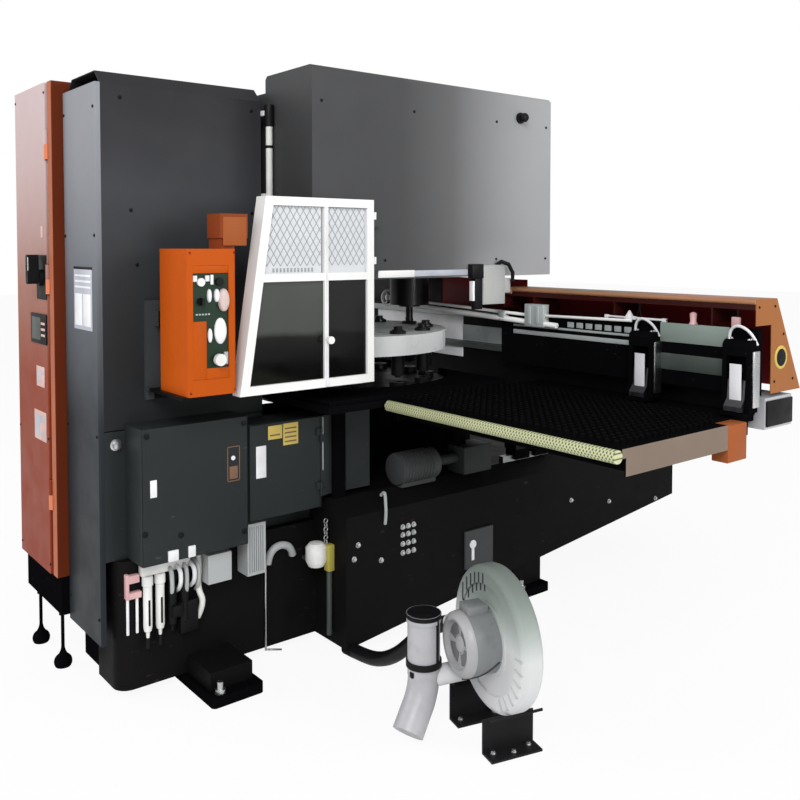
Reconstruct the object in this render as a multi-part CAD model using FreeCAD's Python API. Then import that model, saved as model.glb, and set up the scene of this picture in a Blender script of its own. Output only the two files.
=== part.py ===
import FreeCAD, Part
import math
import os

# CNC turret punch press, in millimetres. +Z is up, the floor is Z = 0, and the origin lies
# on the floor in the middle of the machine's outline. The C-shaped frame stands on the plane
# X = 0, its column near -Y, and the sheet carriage works from the +Y side.

# ---- overall sizes ----
overall_length = 3370.0      # Y, front of the cabinet's switch handle to the bed's far end
overall_width = 3650.0       # X, from end to end of the carriage's tables
overall_height = 2460.0      # floor to the top of the bridge cover
sheet_line = 1120.0          # height at which the sheet metal slides
skin = 3.0                   # sheet metal of covers
seam = 4.0                   # open joint between neighbouring panels
gap = 0.3                    # clearance of faces that pass each other
run_fit = 0.05               # radial clearance of a shaft in its hole

# ---- turret and ram ----
turret_radius = 470.0
rim_to_pitch = 90.0          # from the turret's rim in to the circle of stations
station_count = 12
upper_turret_height = 90.0
lower_turret_height = 60.0
turret_shaft_radius = 45.0
guide_radius = 31.0
punch_radius = 20.0
punch_tip_radius = 14.0
die_radius = 40.0
ram_radius = 55.0
throat_clearance = 190.0     # from the turret's rim back to the column
upper_turret_z = 1250.0      # underside of the upper turret

# ---- frame, bed and covers ----
frame_half = 90.0            # half thickness of the C frame
column_depth = 620.0
column_cover_gap = 60.0      # end panel to column
arm_z = 1640.0               # underside of the upper arm
lower_arm_z = 1000.0         # top of the lower arm
arm_past_punch = 355.0
frame_bottom = 60.0
pad_height = 40.0
bed_half = 540.0
bed_top = 660.0
bed_shoulder_z = 600.0
bed_shoulder = 100.0
bed_wall = 25.0
bed_start_back = 255.0       # bed's near end, this far beyond the column
bed_end_z = 300.0            # underside at the far end, which rises from the floor
base_half = 300.0
base_top = 540.0
bridge_half = 575.0
bridge_bottom = 1600.0
bridge_past_arm = 75.0
bridge_step_x = 215.0        # where the high box on the operator's side begins
bridge_shelf_drop = 70.0     # from the high box's top to the lower one's
bridge_bevel = 14.0
front_cover_face = 260.0     # +X face of the tall front cover
front_cover_back = -100.0
front_cover_z = 1040.0
front_cover_drop = 60.0      # front cover's top below the bridge cover's
end_panel_depth = 20.0
end_panel_z = 220.0
bevel = 55.0

# ---- cabinet ----
handle_reach = 60.0
cabinet_width = 473.0
cabinet_depth = 625.0
cabinet_z = 390.0
plinth_z = 230.0
cabinet_proud = 50.0
door_depth = 22.0
hinge_strip = 67.0
hinge_radius = 9.0

# ---- carriage and tables ----
web_from_punch = 270.0
web_depth = 30.0
web_top = 1420.0
beam_depth = 290.0
beam_end_depth = 200.0
beam_middle = 520.0          # half length of the beam's deeper middle
beam_z = 1040.0
beam_top = 1160.0
beam_margin = 25.0           # beam's end to the tables' outer edge
beam_end_margin = 80.0
rail_half = 15.0
y_rail_x = 430.0
table_inner = 660.0
table_notch_x = 70.0         # corner of each table that is left open for the beam's end bracket
table_notch_y = 295.0
table_reach = 900.0
table_thick = 30.0
brush_height = 18.0
bumper_radius = 22.0
x_carriage_length = 1335.0
x_plate_end = 1815.0
x_cover_end = 1800.0
x_cover_top = 1540.0
x_cover_roof = 150.0         # level top of the cover, before its back slopes out
x_cover_depth = 335.0
cover_port_y = 525.0
cover_port_z = 1310.0
clamp_depth = 66.0
clamp_width = 115.0
clamp_top = 1390.0
clamp_pitch = 428.0

# ---- blower ----
blower_x = 1352.0            # middle of the pump casing
blower_y = -565.0
blower_turn = -15.0          # degrees, motor turned a little away from the bed
blower_height = 360.0
blower_radius = 252.0
blower_width = 84.0
motor_radius = 113.0
motor_length = 125.0
silencer_radius = 58.0
horn_turn = 32.0             # degrees, from the motor's axis
horn_lean = 42.0             # degrees, from straight down
horn_bend = 150.0
horn_run = 95.0
stand_reach = 100.0
hose_radius = 29.0

# ---- places worked out from the sizes ----
y_near = -overall_length / 2.0
y_far = overall_length / 2.0
door_face = y_near + handle_reach
end_face = door_face + cabinet_proud
column_near = end_face + column_cover_gap
column_far = column_near + column_depth
pitch_radius = turret_radius - rim_to_pitch
throat_depth = pitch_radius + turret_radius + throat_clearance
punch_y = column_far + throat_depth
turret_y = punch_y - pitch_radius
arm_end = punch_y + arm_past_punch
bridge_near = column_far + 70.0
bridge_far = arm_end + bridge_past_arm
front_cover_far = column_far + 20.0
front_cover_top = overall_height - front_cover_drop
bed_near = column_far + bed_start_back
table_top = sheet_line - brush_height - 2.0
web_y = punch_y + web_from_punch
table_outer = overall_width / 2.0
beam_half = table_outer - beam_margin
lower_turret_top = sheet_line - 30.0
lower_turret_z = lower_turret_top - lower_turret_height


def vec(x, y, z):
    return FreeCAD.Vector(x, y, z)


def box(x0, x1, y0, y1, z0, z1):
    return Part.makeBox(x1 - x0, y1 - y0, z1 - z0, vec(x0, y0, z0))


def disc(x, y, z0, z1, radius):
    return Part.makeCylinder(radius, z1 - z0, vec(x, y, z0), vec(0, 0, 1))


def bar_x(x0, x1, y, z, radius):
    return Part.makeCylinder(radius, x1 - x0, vec(x0, y, z), vec(1, 0, 0))


def bar_y(x, y0, y1, z, radius):
    return Part.makeCylinder(radius, y1 - y0, vec(x, y0, z), vec(0, 1, 0))


def slab_x(points, x0, x1):
    """A flat outline of (y, z) points, from x0 to x1."""
    wire = Part.makePolygon([vec(x0, y, z) for y, z in points + points[:1]])
    return Part.Face(wire).extrude(vec(x1 - x0, 0, 0))


def slab_y(points, y0, y1):
    """A flat outline of (x, z) points, from y0 to y1."""
    wire = Part.makePolygon([vec(x, y0, z) for x, z in points + points[:1]])
    return Part.Face(wire).extrude(vec(0, y1 - y0, 0))


def join(shapes):
    whole = shapes[0]
    for shape in shapes[1:]:
        whole = whole.fuse(shape)
    return whole.removeSplitter()


def less(shape, tools):
    for tool in tools:
        shape = shape.cut(tool)
    return shape


def group(shapes):
    return Part.makeCompound(shapes)


def mirrored(shape):
    return shape.mirror(vec(0, 0, 0), vec(1, 0, 0))


def both_sides(shape):
    return group([shape, mirrored(shape)])


def round_edges(shape, radius, axis, wanted=lambda middle: True):
    """Round the straight edges that run along axis and whose middle is wanted."""
    picked = []
    for edge in shape.Edges:
        if not isinstance(edge.Curve, Part.Line):
            continue
        if abs(edge.tangentAt(edge.FirstParameter).dot(axis)) < 0.999:
            continue
        if wanted(edge.CenterOfMass):
            picked.append(edge)
    return shape.makeFillet(radius, picked)


def ring_places(count, radius, x, y):
    """Points round a circle, the first one straight along +Y."""
    for step in range(count):
        angle = math.radians(90.0 + 360.0 * step / count)
        yield x + radius * math.cos(angle), y + radius * math.sin(angle)


X_AXIS = vec(1, 0, 0)
Y_AXIS = vec(0, 1, 0)
Z_AXIS = vec(0, 0, 1)


# ---- route of the blower's hose, from the bed's nozzle to the blower's inlet ----
hose_points = [
    vec(556.0, -605.0, 33.0),
    vec(646.0, -602.0, 36.5),
    vec(738.0, -598.0, 62.0),
    vec(820.0, -593.0, 110.0),
    vec(891.0, -588.0, 173.0),
    vec(958.0, -583.0, 240.0),
    vec(1034.0, -578.0, 297.0),
    vec(1108.0, -573.0, 332.0)]


# ---- frame and bed ----

pad_hole_inset = 10.0        # from the bed's side to the anchor holes' line
pad_edge = 30.0              # pad beyond the holes' line
pad_hole_x = bed_half - pad_hole_inset
pad_hole_offset = 65.0
pad_reach = 110.0
pad_corner = 18.0
near_pad_y = column_near + 360.0
far_pad_y = punch_y + 350.0
anchor_radius = 14.0
jack_radius = 12.0
base_corner = 60.0
throat_corner = 60.0
frame_past_punch = 275.0
carrier_inset = 40.0         # crossbars that the bridge cover is screwed to
carrier_thick = 20.0
outrigger_top = 110.0
outrigger_reach = 200.0
foot_width = 90.0
nozzle_length = 60.0


def c_frame():
    top = front_cover_top - 70.0
    outline = [
        (column_near, frame_bottom), (column_near, top), (arm_end, top), (arm_end, arm_z + 180.0),
        (arm_end - 120.0, arm_z), (column_far, arm_z), (column_far, lower_arm_z),
        (punch_y + 140.0, lower_arm_z), (punch_y + frame_past_punch, bed_top),
        (punch_y + frame_past_punch, frame_bottom)]
    frame = slab_x(outline, -frame_half, frame_half)
    throat_corners = lambda p: abs(p.y - column_far) < 1.0
    frame = round_edges(frame, throat_corner, X_AXIS, throat_corners)
    slug_hole = disc(0, punch_y, frame_bottom - 1.0, lower_arm_z + 1.0, die_radius - 5.0)
    carriers = []
    reach = bridge_half - skin
    for y in (bridge_near + carrier_inset, arm_end - carrier_inset - carrier_thick):
        carriers.append(box(-reach, reach, y, y + carrier_thick, arm_z + 200.0, arm_z + 260.0))
    return join([frame.cut(slug_hole)] + carriers)


def bed_bottom_z(y):
    """Height of the bed's underside, which rises towards the far end."""
    return pad_height + (bed_end_z - pad_height) * (y - bed_near) / (y_far - bed_near)


def bed():
    frame_slot = box(-frame_half, frame_half, column_near, punch_y + frame_past_punch, 0,
                     bed_top + 300.0)
    section = [
        (-bed_half, pad_height), (-bed_half, bed_shoulder_z), (-bed_half + bed_shoulder, bed_top),
        (bed_half - bed_shoulder, bed_top), (bed_half, bed_shoulder_z), (bed_half, pad_height)]
    beam = slab_y(section, bed_near, y_far)
    side = [(bed_near, pad_height), (bed_near, bed_top), (y_far, bed_top), (y_far, bed_end_z)]
    beam = beam.common(slab_x(side, -bed_half, bed_half))
    inside = bed_half - bed_shoulder - bed_wall
    beam = beam.cut(box(-inside, inside, bed_near + bed_wall, y_far - bed_wall, 0, bed_top - bed_wall))
    base_near = column_near - 10.0
    base = box(frame_half, base_half, base_near, bed_near, pad_height, base_top)
    base = round_edges(base, base_corner, Z_AXIS, lambda p: p.y < base_near + 1.0 and p.x > base_half - 1.0)
    low_near = near_pad_y - 90.0
    low_base = box(-base_half, -frame_half, low_near, cabinet_y1 + 10.0, pad_height, plinth_z)
    back_base = box(-base_half, -frame_half, cabinet_y1 + 10.0, bed_near, pad_height, base_top)
    outriggers = [box(x0, x0 + outrigger_reach, low_near, near_pad_y + 90.0, pad_height, outrigger_top)
                  for x0 in (base_half, -base_half - outrigger_reach)]
    feet = [box(x0, x0 + foot_width, far_pad_y - 100.0, far_pad_y + 100.0, pad_height, bed_end_z).cut(beam)
            for x0 in (-inside - foot_width, inside)]
    nozzle_end, along = hose_points[0], hose_points[1] - hose_points[0]
    along.normalize()
    nozzle = Part.makeCylinder(hose_radius, nozzle_length, nozzle_end - along * nozzle_length, along)
    clip = box(bed_half - 40.0, bed_half - 12.0, nozzle_end.y - 20.0, nozzle_end.y + 20.0,
               nozzle_end.z, bed_bottom_z(nozzle_end.y + 20.0) + 5.0)
    beam = join([beam, nozzle.cut(beam), clip.cut(beam)])
    plates = [beam.cut(frame_slot), base, low_base, back_base] + outriggers + feet
    return group(plates)


def pad_places():
    """Middle x, middle y and half width of each floor pad."""
    outer = pad_hole_x + pad_edge
    for inner, y in ((base_half - 90.0, near_pad_y), (bed_half - bed_shoulder - 70.0, far_pad_y)):
        for side in (-1, 1):
            yield side * (inner + outer) / 2.0, y, (outer - inner) / 2.0


def floor_pads():
    pads = []
    for x, y, half in pad_places():
        pad = box(x - half, x + half, y - pad_reach, y + pad_reach, 0, pad_height)
        pad = round_edges(pad, pad_corner, Z_AXIS)
        hole_x = math.copysign(pad_hole_x, x)
        anchor_hole = disc(hole_x, y + pad_hole_offset, -1, pad_height + 1, anchor_radius)
        jack_hole = disc(hole_x, y - pad_hole_offset, -1, pad_height + 1, jack_radius + run_fit)
        pads.append(less(pad, [anchor_hole, jack_hole]))
    return group(pads)


def jack_bolts():
    bolts = []
    for x, y, half in pad_places():
        bolt_x, bolt_y = math.copysign(pad_hole_x, x), y - pad_hole_offset
        stem = disc(bolt_x, bolt_y, 1.0, pad_height + 45.0, jack_radius)
        nut = disc(bolt_x, bolt_y, pad_height, pad_height + 18.0, jack_radius + 9.0)
        bolts.append(join([stem, nut]))
    return group(bolts)


# ---- covers ----

def bevelled_shell(x0, x1, y0, y1, z0, z1, open_near, open_far, open_below):
    """Sheet-metal hood whose two long top edges are bevelled."""
    def outline(inset, low, high):
        return [(x0 + inset, low), (x0 + inset, high - bevel), (x0 + inset + bevel, high),
                (x1 - inset - bevel, high), (x1 - inset, high - bevel), (x1 - inset, low)]
    outer = slab_y(outline(0, z0, z1), y0, y1)
    low = z0 - 1.0 if open_below else z0 + skin
    near = y0 - 1.0 if open_near else y0 + skin
    far = y1 + 1.0 if open_far else y1 - skin
    return outer.cut(slab_y(outline(skin, low, z1 - skin), near, far))


def arm_window(y0, y1):
    reach = frame_half + 6.0
    return box(-reach, reach, y0, y1, arm_z - throat_corner - 6.0, front_cover_top - 60.0)


def front_upper_cover():
    near = end_face + end_panel_depth
    hood = bevelled_shell(front_cover_back, front_cover_face, near, front_cover_far,
                          front_cover_z, front_cover_top, True, False, True)
    return hood.cut(arm_window(front_cover_far - 10.0, front_cover_far + 10.0))


def end_side_panel():
    pan = box(front_cover_back, front_cover_face, end_face, end_face + end_panel_depth - gap,
              end_panel_z, front_cover_top - 50.0)
    pan = round_edges(pan, 8.0, Z_AXIS, lambda p: p.y < end_face + 1.0)
    inner = box(front_cover_back + skin, front_cover_face - skin, end_face + skin,
                end_face + end_panel_depth, end_panel_z + skin, front_cover_top - 50.0 - skin)
    return pan.cut(inner)


def bridge_outline(inset):
    """Profile across the bridge: a high box on the operator's side, and a lower one beyond it."""
    left, right = -bridge_half + inset, bridge_half - inset
    low, high = bridge_bottom + inset, overall_height - inset
    shelf = high - bridge_shelf_drop
    step = bridge_step_x + inset
    return [(left, low), (left, shelf - bevel), (left + bevel, shelf), (step, shelf),
            (step, high - bridge_bevel), (step + bridge_bevel, high), (right - bridge_bevel, high),
            (right, high - bridge_bevel), (right, low)]


def bridge_cover():
    outer = slab_y(bridge_outline(0), bridge_near, bridge_far)
    hood = outer.cut(slab_y(bridge_outline(skin), bridge_near + skin, bridge_far - skin))
    hood = hood.cut(arm_window(bridge_near - 5.0, bridge_near + 10.0))
    ram_hole = disc(0, punch_y, bridge_bottom - 1, bridge_bottom + 10, ram_radius + 80.0)
    shaft_hole = disc(0, turret_y, bridge_bottom - 1, bridge_bottom + 10, turret_shaft_radius + 45.0)
    return join([less(hood, [ram_hole, shaft_hole])] + guard_hinges())


lower_cover_face = 417.0
lower_box_far = end_face + 550.0
service_far = end_face + 890.0
lower_panel_far = end_face + 1150.0


def lower_column_cover():
    near = end_face + end_panel_depth
    low = base_top
    side = front_cover_face
    tall = box(front_cover_back, side, near, front_cover_far, low, front_cover_z - seam)
    short = box(front_cover_back, side, near, lower_panel_far, low, lower_arm_z - 10.0)
    bed_room = box(front_cover_back - 1, side + 1, bed_near, lower_panel_far + 1, 0, bed_top)
    outer = join([tall, short]).cut(bed_room)
    tall_in = box(front_cover_back + skin, side - skin, near - 1, front_cover_far - skin,
                  low - 1, front_cover_z - seam - skin)
    short_in = box(front_cover_back + skin, side - skin, near - 1, lower_panel_far - skin,
                   low - 1, lower_arm_z - 10.0 - skin)
    slot = box(-frame_half - 2, frame_half + 2, column_near - 50.0, lower_panel_far + 10.0,
               low - 1, overall_height)
    return less(outer, [tall_in, short_in, slot])


def lower_front_box():
    near = end_face + 100.0
    pan = box(front_cover_face, lower_cover_face, near, lower_box_far - seam, base_top + 6.0, 1061.0)
    pan = round_edges(pan, 12.0, Z_AXIS, lambda p: p.x > lower_cover_face - 1.0)
    hollow = box(front_cover_face - 1, lower_cover_face - skin, near + skin,
                 lower_box_far - seam - skin, base_top + 6.0 + skin, 1061.0 - skin)
    return pan.cut(hollow)


service_z = 630.0
service_top = lower_turret_z - 10.0
far_panel_z = bed_top + 20.0
lower_hinge_radius = 6.0
lower_hinge_x = lower_cover_face + 7.0
lower_hinge_length = 30.0
lower_hinge_heights = (service_z + 80.0, service_top - 80.0)
lower_door_depth = 16.0


def lower_side_panel():
    """Service box behind the lower door, and the panel beyond it, folded in one piece."""
    pan = box(front_cover_face, lower_cover_face, lower_box_far, lower_panel_far, service_z, service_top)
    door_room = box(lower_cover_face - lower_door_depth - gap, lower_cover_face + 1,
                    lower_box_far - 1, service_far, service_z - 1, service_top + 1)
    bay = box(front_cover_face + skin, lower_cover_face, lower_box_far + skin,
              service_far - skin, service_z + skin, service_top - skin)
    rest = box(front_cover_face - 1, lower_cover_face - skin, service_far + skin,
               lower_panel_far - skin, far_panel_z + skin, service_top - skin)
    below = box(front_cover_face - 1, lower_cover_face + 1, service_far + skin, lower_panel_far + 1,
                service_z - 1, far_panel_z)
    panel = less(pan, [door_room, bay, rest, below])
    for z in lower_hinge_heights:
        lug = disc(lower_hinge_x, service_far, z - lower_hinge_length, z, lower_hinge_radius)
        leaf = box(lower_cover_face, lower_hinge_x, service_far, service_far + 24.0,
                   z - lower_hinge_length, z)
        pin = disc(lower_hinge_x, service_far, z - 1, z + lower_hinge_length + 2.0, lower_hinge_radius / 2.0)
        panel = join([panel, lug, leaf, pin])
    return panel


def lower_door():
    """Pan-shaped door, hung on two pins along its far edge."""
    x0 = lower_cover_face - lower_door_depth
    pan = box(x0, lower_cover_face, lower_box_far + 2.0, service_far - 3.0,
              service_z + 2.0, service_top - 2.0)
    hollow = box(x0 - 1, lower_cover_face - skin, lower_box_far + 2.0 + skin, service_far - 3.0 - skin,
                 service_z + 2.0 + skin, service_top - 2.0 - skin)
    door = pan.cut(hollow)
    for z in lower_hinge_heights:
        lug = disc(lower_hinge_x, service_far, z + gap, z + lower_hinge_length, lower_hinge_radius)
        leaf = box(lower_cover_face, lower_hinge_x, service_far - 24.0, service_far,
                   z + gap, z + lower_hinge_length)
        room = disc(lower_hinge_x, service_far, z - lower_hinge_length - 1, z + gap, lower_hinge_radius + 1)
        bore = disc(lower_hinge_x, service_far, z - 1, z + 100.0, lower_hinge_radius / 2.0 + run_fit)
        door = less(join([door, lug, leaf]), [bore, room])
    return door


# ---- electrical cabinet ----

cabinet_x1 = front_cover_back - 3.0
cabinet_x0 = cabinet_x1 - cabinet_width
cabinet_y0 = door_face + door_depth + 1.0
cabinet_y1 = cabinet_y0 + cabinet_depth
cabinet_top = front_cover_top
door_x1 = cabinet_x1 - hinge_strip
hinge_y = door_face + 4.0
hinge_x = door_x1 + 6.0
hinge_heights = (cabinet_z + 330.0, (cabinet_z + cabinet_top) / 2.0 + 210.0, cabinet_top - 250.0)
hinge_length = 60.0


def cabinet_shell():
    outer = box(cabinet_x0, cabinet_x1, cabinet_y0, cabinet_y1, cabinet_z, cabinet_top)
    inner = box(cabinet_x0 + skin, cabinet_x1 - skin, cabinet_y0 + skin, cabinet_y1 - skin,
                cabinet_z + skin, cabinet_top - skin)
    door_opening = box(cabinet_x0 + 25.0, door_x1 - 15.0, cabinet_y0 - 1, cabinet_y0 + skin + 1,
                       cabinet_z + 25.0, cabinet_top - 25.0)
    strip = box(door_x1 + 2 * hinge_radius, cabinet_x1, door_face + 6.0, cabinet_y0, cabinet_z, cabinet_top)
    shell = join([less(outer, [inner, door_opening]), strip])
    pins = []
    for z in hinge_heights:
        leaf = box(hinge_x, hinge_x + 20.0, hinge_y - 3.0, hinge_y + 3.0, z - hinge_length, z)
        lug = disc(hinge_x, hinge_y, z - hinge_length, z, hinge_radius)
        pin = disc(hinge_x, hinge_y, z - 1, z + hinge_length, hinge_radius / 2.0)
        pins.append(join([leaf, lug, pin]))
    return join([shell] + pins)


def cabinet_door():
    face = box(cabinet_x0, door_x1, door_face, door_face + door_depth, cabinet_z, cabinet_top)
    face = round_edges(face, 6.0, Z_AXIS, lambda p: p.y < door_face + 1.0)
    hollow = box(cabinet_x0 + skin, door_x1 - skin, door_face + skin, door_face + door_depth + 1,
                 cabinet_z + skin, cabinet_top - skin)
    door = face.cut(hollow)
    for z in hinge_heights:
        room = disc(hinge_x, hinge_y, z - hinge_length - 2, z + hinge_length + 2, hinge_radius + 3.0)
        lug = disc(hinge_x, hinge_y, z + gap, z + hinge_length, hinge_radius)
        leaf = box(door_x1 - 30.0, hinge_x, hinge_y - 2.0, hinge_y + 4.0, z + gap, z + hinge_length)
        bore = disc(hinge_x, hinge_y, z - 1, z + hinge_length + 1, hinge_radius / 2.0 + run_fit)
        door = less(join([door.cut(room), lug, leaf]), [bore])
    switch_hole = bar_y(handle_x, door_face - 1, door_face + door_depth, handle_z, 12.0 + run_fit)
    return door.cut(switch_hole)


handle_x = -230.0
handle_z = 1610.0


def disconnect_handle():
    """Turning handle of the main switch, on a shaft through the door."""
    shaft = bar_y(handle_x, door_face - 12.0, door_face + door_depth - 2.0, handle_z, 12.0)
    rose = bar_y(handle_x, door_face - 16.0, door_face - gap, handle_z, 34.0)
    grip = box(handle_x - 14.0, handle_x + 14.0, y_near, door_face - 16.0, handle_z - 25.0, handle_z + 95.0)
    grip = round_edges(grip, 12.0, Y_AXIS)
    return join([shaft, rose, grip])


def cabinet_plinth():
    outer = box(cabinet_x0 + 10.0, cabinet_x1 - 5.0, cabinet_y0, cabinet_y1 - 10.0, plinth_z, cabinet_z)
    hollow = box(cabinet_x0 + 40.0, cabinet_x1 - 35.0, cabinet_y0 + 30.0, cabinet_y1 - 40.0,
                 plinth_z - 1, cabinet_z - 10.0)
    return outer.cut(hollow)


def cabinet_feet():
    feet = []
    left, right = cabinet_x0 + 130.0, cabinet_x1 - 53.0
    near, far = cabinet_y0 + 17.0, cabinet_y1 - 27.0
    for x, y in ((left, near), (right, near), (left, far)):
        stem = disc(x, y, 20.0, plinth_z, 7.0)
        nut = disc(x, y, plinth_z - 14.0, plinth_z, 14.0)
        profile = Part.Wire([
            Part.LineSegment(vec(x, y, 0), vec(x + 30.0, y, 0)).toShape(),
            Part.Arc(vec(x + 30.0, y, 0), vec(x + 36.0, y, 22.0), vec(x + 20.0, y, 48.0)).toShape(),
            Part.Arc(vec(x + 20.0, y, 48.0), vec(x + 12.0, y, 62.0), vec(x + 7.0, y, 85.0)).toShape(),
            Part.LineSegment(vec(x + 7.0, y, 85.0), vec(x, y, 85.0)).toShape(),
            Part.LineSegment(vec(x, y, 85.0), vec(x, y, 0)).toShape()])
        bulb = Part.Face(profile).revolve(vec(x, y, 0), Z_AXIS, 360)
        feet.append(join([bulb, stem, nut]))
    return group(feet)


def drive_modules():
    """Switchgear on its mounting plate inside the cabinet."""
    plate_y = cabinet_y1 - skin - 60.0
    plate = box(cabinet_x0 + 30.0, cabinet_x1 - 30.0, plate_y, plate_y + 6.0,
                cabinet_z + 60.0, cabinet_top - 60.0)
    spacers = [bar_y(x, plate_y + 6.0, cabinet_y1 - skin, z, 10.0)
               for x in (cabinet_x0 + 50.0, cabinet_x1 - 50.0)
               for z in (cabinet_z + 80.0, cabinet_top - 80.0)]
    rows = 4
    step = (cabinet_top - cabinet_z - 160.0) / rows
    modules = []
    for row in range(rows):
        for column in range(3):
            x = cabinet_x0 + 50.0 + column * 128.0
            z = cabinet_z + 90.0 + row * step
            modules.append(box(x, x + 110.0, plate_y - 150.0, plate_y, z, z + step * 0.7))
    return join([plate] + spacers + modules)


# ---- operator's control ----

control_x0 = 360.0
control_x1 = 610.0
control_y0 = end_face + 200.0
control_y1 = end_face + 390.0
control_z0 = 1196.0
control_z1 = 1730.0
plate_inset = 6.0


def control_box():
    outer = box(control_x0, control_x1, control_y0, control_y1, control_z0, control_z1)
    outer = round_edges(outer, 10.0, Z_AXIS)
    inner = box(control_x0 + skin, control_x1 - plate_inset - 2 * skin, control_y0 + skin,
                control_y1 - skin, control_z0 + skin, control_z1 - skin)
    recess = box(control_x1 - plate_inset - skin, control_x1 + 1, control_y0 + 18.0, control_y1 - 30.0,
                 control_z0 + 60.0, control_z1 - 60.0)
    pocket = box(control_x1 - plate_inset - 3 * skin, control_x1, control_y0 + 24.0, control_y1 - 36.0,
                 control_z0 + 66.0, control_z1 - 66.0)
    return less(outer, [inner, recess, pocket])


def control_holes():
    """Name, y, z and radius of each control in the plate."""
    far = control_y1 - 66.0
    return {
        "start_button": (control_y0 + 50.0, control_z1 - 120.0, 15.0),
        "stop_button": (far, control_z1 - 120.0, 15.0),
        "mode_selector": (control_y0 + 50.0, control_z1 - 190.0, 14.0),
        "estop_button": (far - 8.0, control_z0 + 130.0, 14.0)}


control_face = control_x1 - plate_inset


def control_plate():
    plate = box(control_face - skin, control_face, control_y0 + 18.0 + gap, control_y1 - 30.0 - gap,
                control_z0 + 60.0 + gap, control_z1 - 60.0 - gap)
    for y, z, radius in control_holes().values():
        plate = plate.cut(bar_x(control_face - 10.0, control_face + 1, y, z, radius + run_fit))
    return plate


def push_button(name):
    y, z, radius = control_holes()[name]
    stem = bar_x(control_face - 14.0, control_face + 10.0, y, z, radius)
    back = bar_x(control_face - 17.0, control_face - 14.0, y, z, radius + 3.0)
    return join([stem, back])


def estop_button():
    y, z, radius = control_holes()["estop_button"]
    stem = bar_x(control_face - 14.0, control_face + 16.0, y, z, radius)
    back = bar_x(control_face - 17.0, control_face - 14.0, y, z, radius + 3.0)
    cap = bar_x(control_face + 12.0, control_face + 30.0, y, z, 22.0)
    return join([stem, back, cap])


def mode_selector():
    y, z, radius = control_holes()["mode_selector"]
    stem = bar_x(control_face - 14.0, control_face + 8.0, y, z, radius)
    back = bar_x(control_face - 17.0, control_face - 14.0, y, z, radius + 3.0)
    grip = box(control_face + 8.0, control_face + 24.0, y - 5.0, y + 5.0, z - 13.0, z + 13.0)
    return join([stem, back, grip])


def control_tray():
    """Bent bracket that carries the control box off the front cover."""
    shelf = box(front_cover_face, control_x1 - 20.0, control_y0 - 20.0, control_y1 - 6.0,
                control_z0 - 12.0, control_z0)
    post = box(front_cover_face, front_cover_face + 12.0, control_y0 - 20.0, control_y1 - 6.0,
               control_z0 - 50.0, control_z1 - 200.0)
    rib = slab_y([(front_cover_face + 12.0, control_z0 - 50.0), (control_x0 + 120.0, control_z0 - 12.0),
                  (front_cover_face + 12.0, control_z0 - 12.0)], control_y0, control_y0 + 8.0)
    back = box(front_cover_face + 12.0, control_x0, control_y0 + 20.0, control_y1 - 40.0,
               control_z1 - 300.0, control_z1 - 240.0)
    return join([shelf, post, rib, back])


def junction_box():
    """Small box on a neck that stands on the control box's far end."""
    x0, x1 = control_x1 - 135.0, control_x1 - 20.0
    y0 = control_y1 - 50.0
    outer = box(x0, x1, y0, control_y1 + 65.0, control_z1 + 40.0, control_z1 + 130.0)
    neck = box(x0 + 8.0, x1 - 8.0, y0 + 6.0, control_y1 + 10.0, control_z1, control_z1 + 41.0)
    return join([round_edges(outer, 8.0, Z_AXIS), neck])


light_length = 340.0


def light_bar():
    """Tall signal light between the two tall covers, on a lug with a lamp head."""
    x = front_cover_face + 18.0
    y = front_cover_far + 30.0
    head_z = front_cover_top - 130.0
    low_z = head_z - light_length
    tube = disc(x, y, low_z, head_z, 14.0)
    head = disc(x, y, head_z, head_z + 60.0, 20.0)
    lugs = [box(front_cover_face - 20.0, x, front_cover_far, front_cover_far + 22.0, z, z + 20.0)
            for z in (low_z + 10.0, head_z + 15.0)]
    return join([tube, head] + lugs)


# ---- guard ----

guard_x1 = 610.0
guard_depth = 30.0
guard_x0 = guard_x1 - guard_depth
guard_z0 = 1177.0
guard_z1 = 1930.0
guard_near_low = control_y1 + 14.0
guard_near_high = guard_near_low + 115.0
guard_far = guard_near_low + 626.0
guard_rim = 34.0
guard_rail_z = 1618.0
guard_mullion = guard_near_low + 390.0
guard_return = 70.0
guard_hinge_y = guard_far + 14.0
guard_hinge_x = bridge_half + 17.0
guard_hinge_heights = (1665.0, 1850.0)


def guard_outline(inset):
    slope = (guard_near_high - guard_near_low) / (guard_z1 - guard_z0)
    low = guard_z0 + inset
    high = guard_z1 - inset
    near_low = guard_near_low + inset * 1.1 + slope * inset
    near_high = guard_near_high + inset * 1.1 - slope * inset
    return [(near_low, low), (near_high, high), (guard_far - inset, high), (guard_far - inset, low)]


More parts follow.
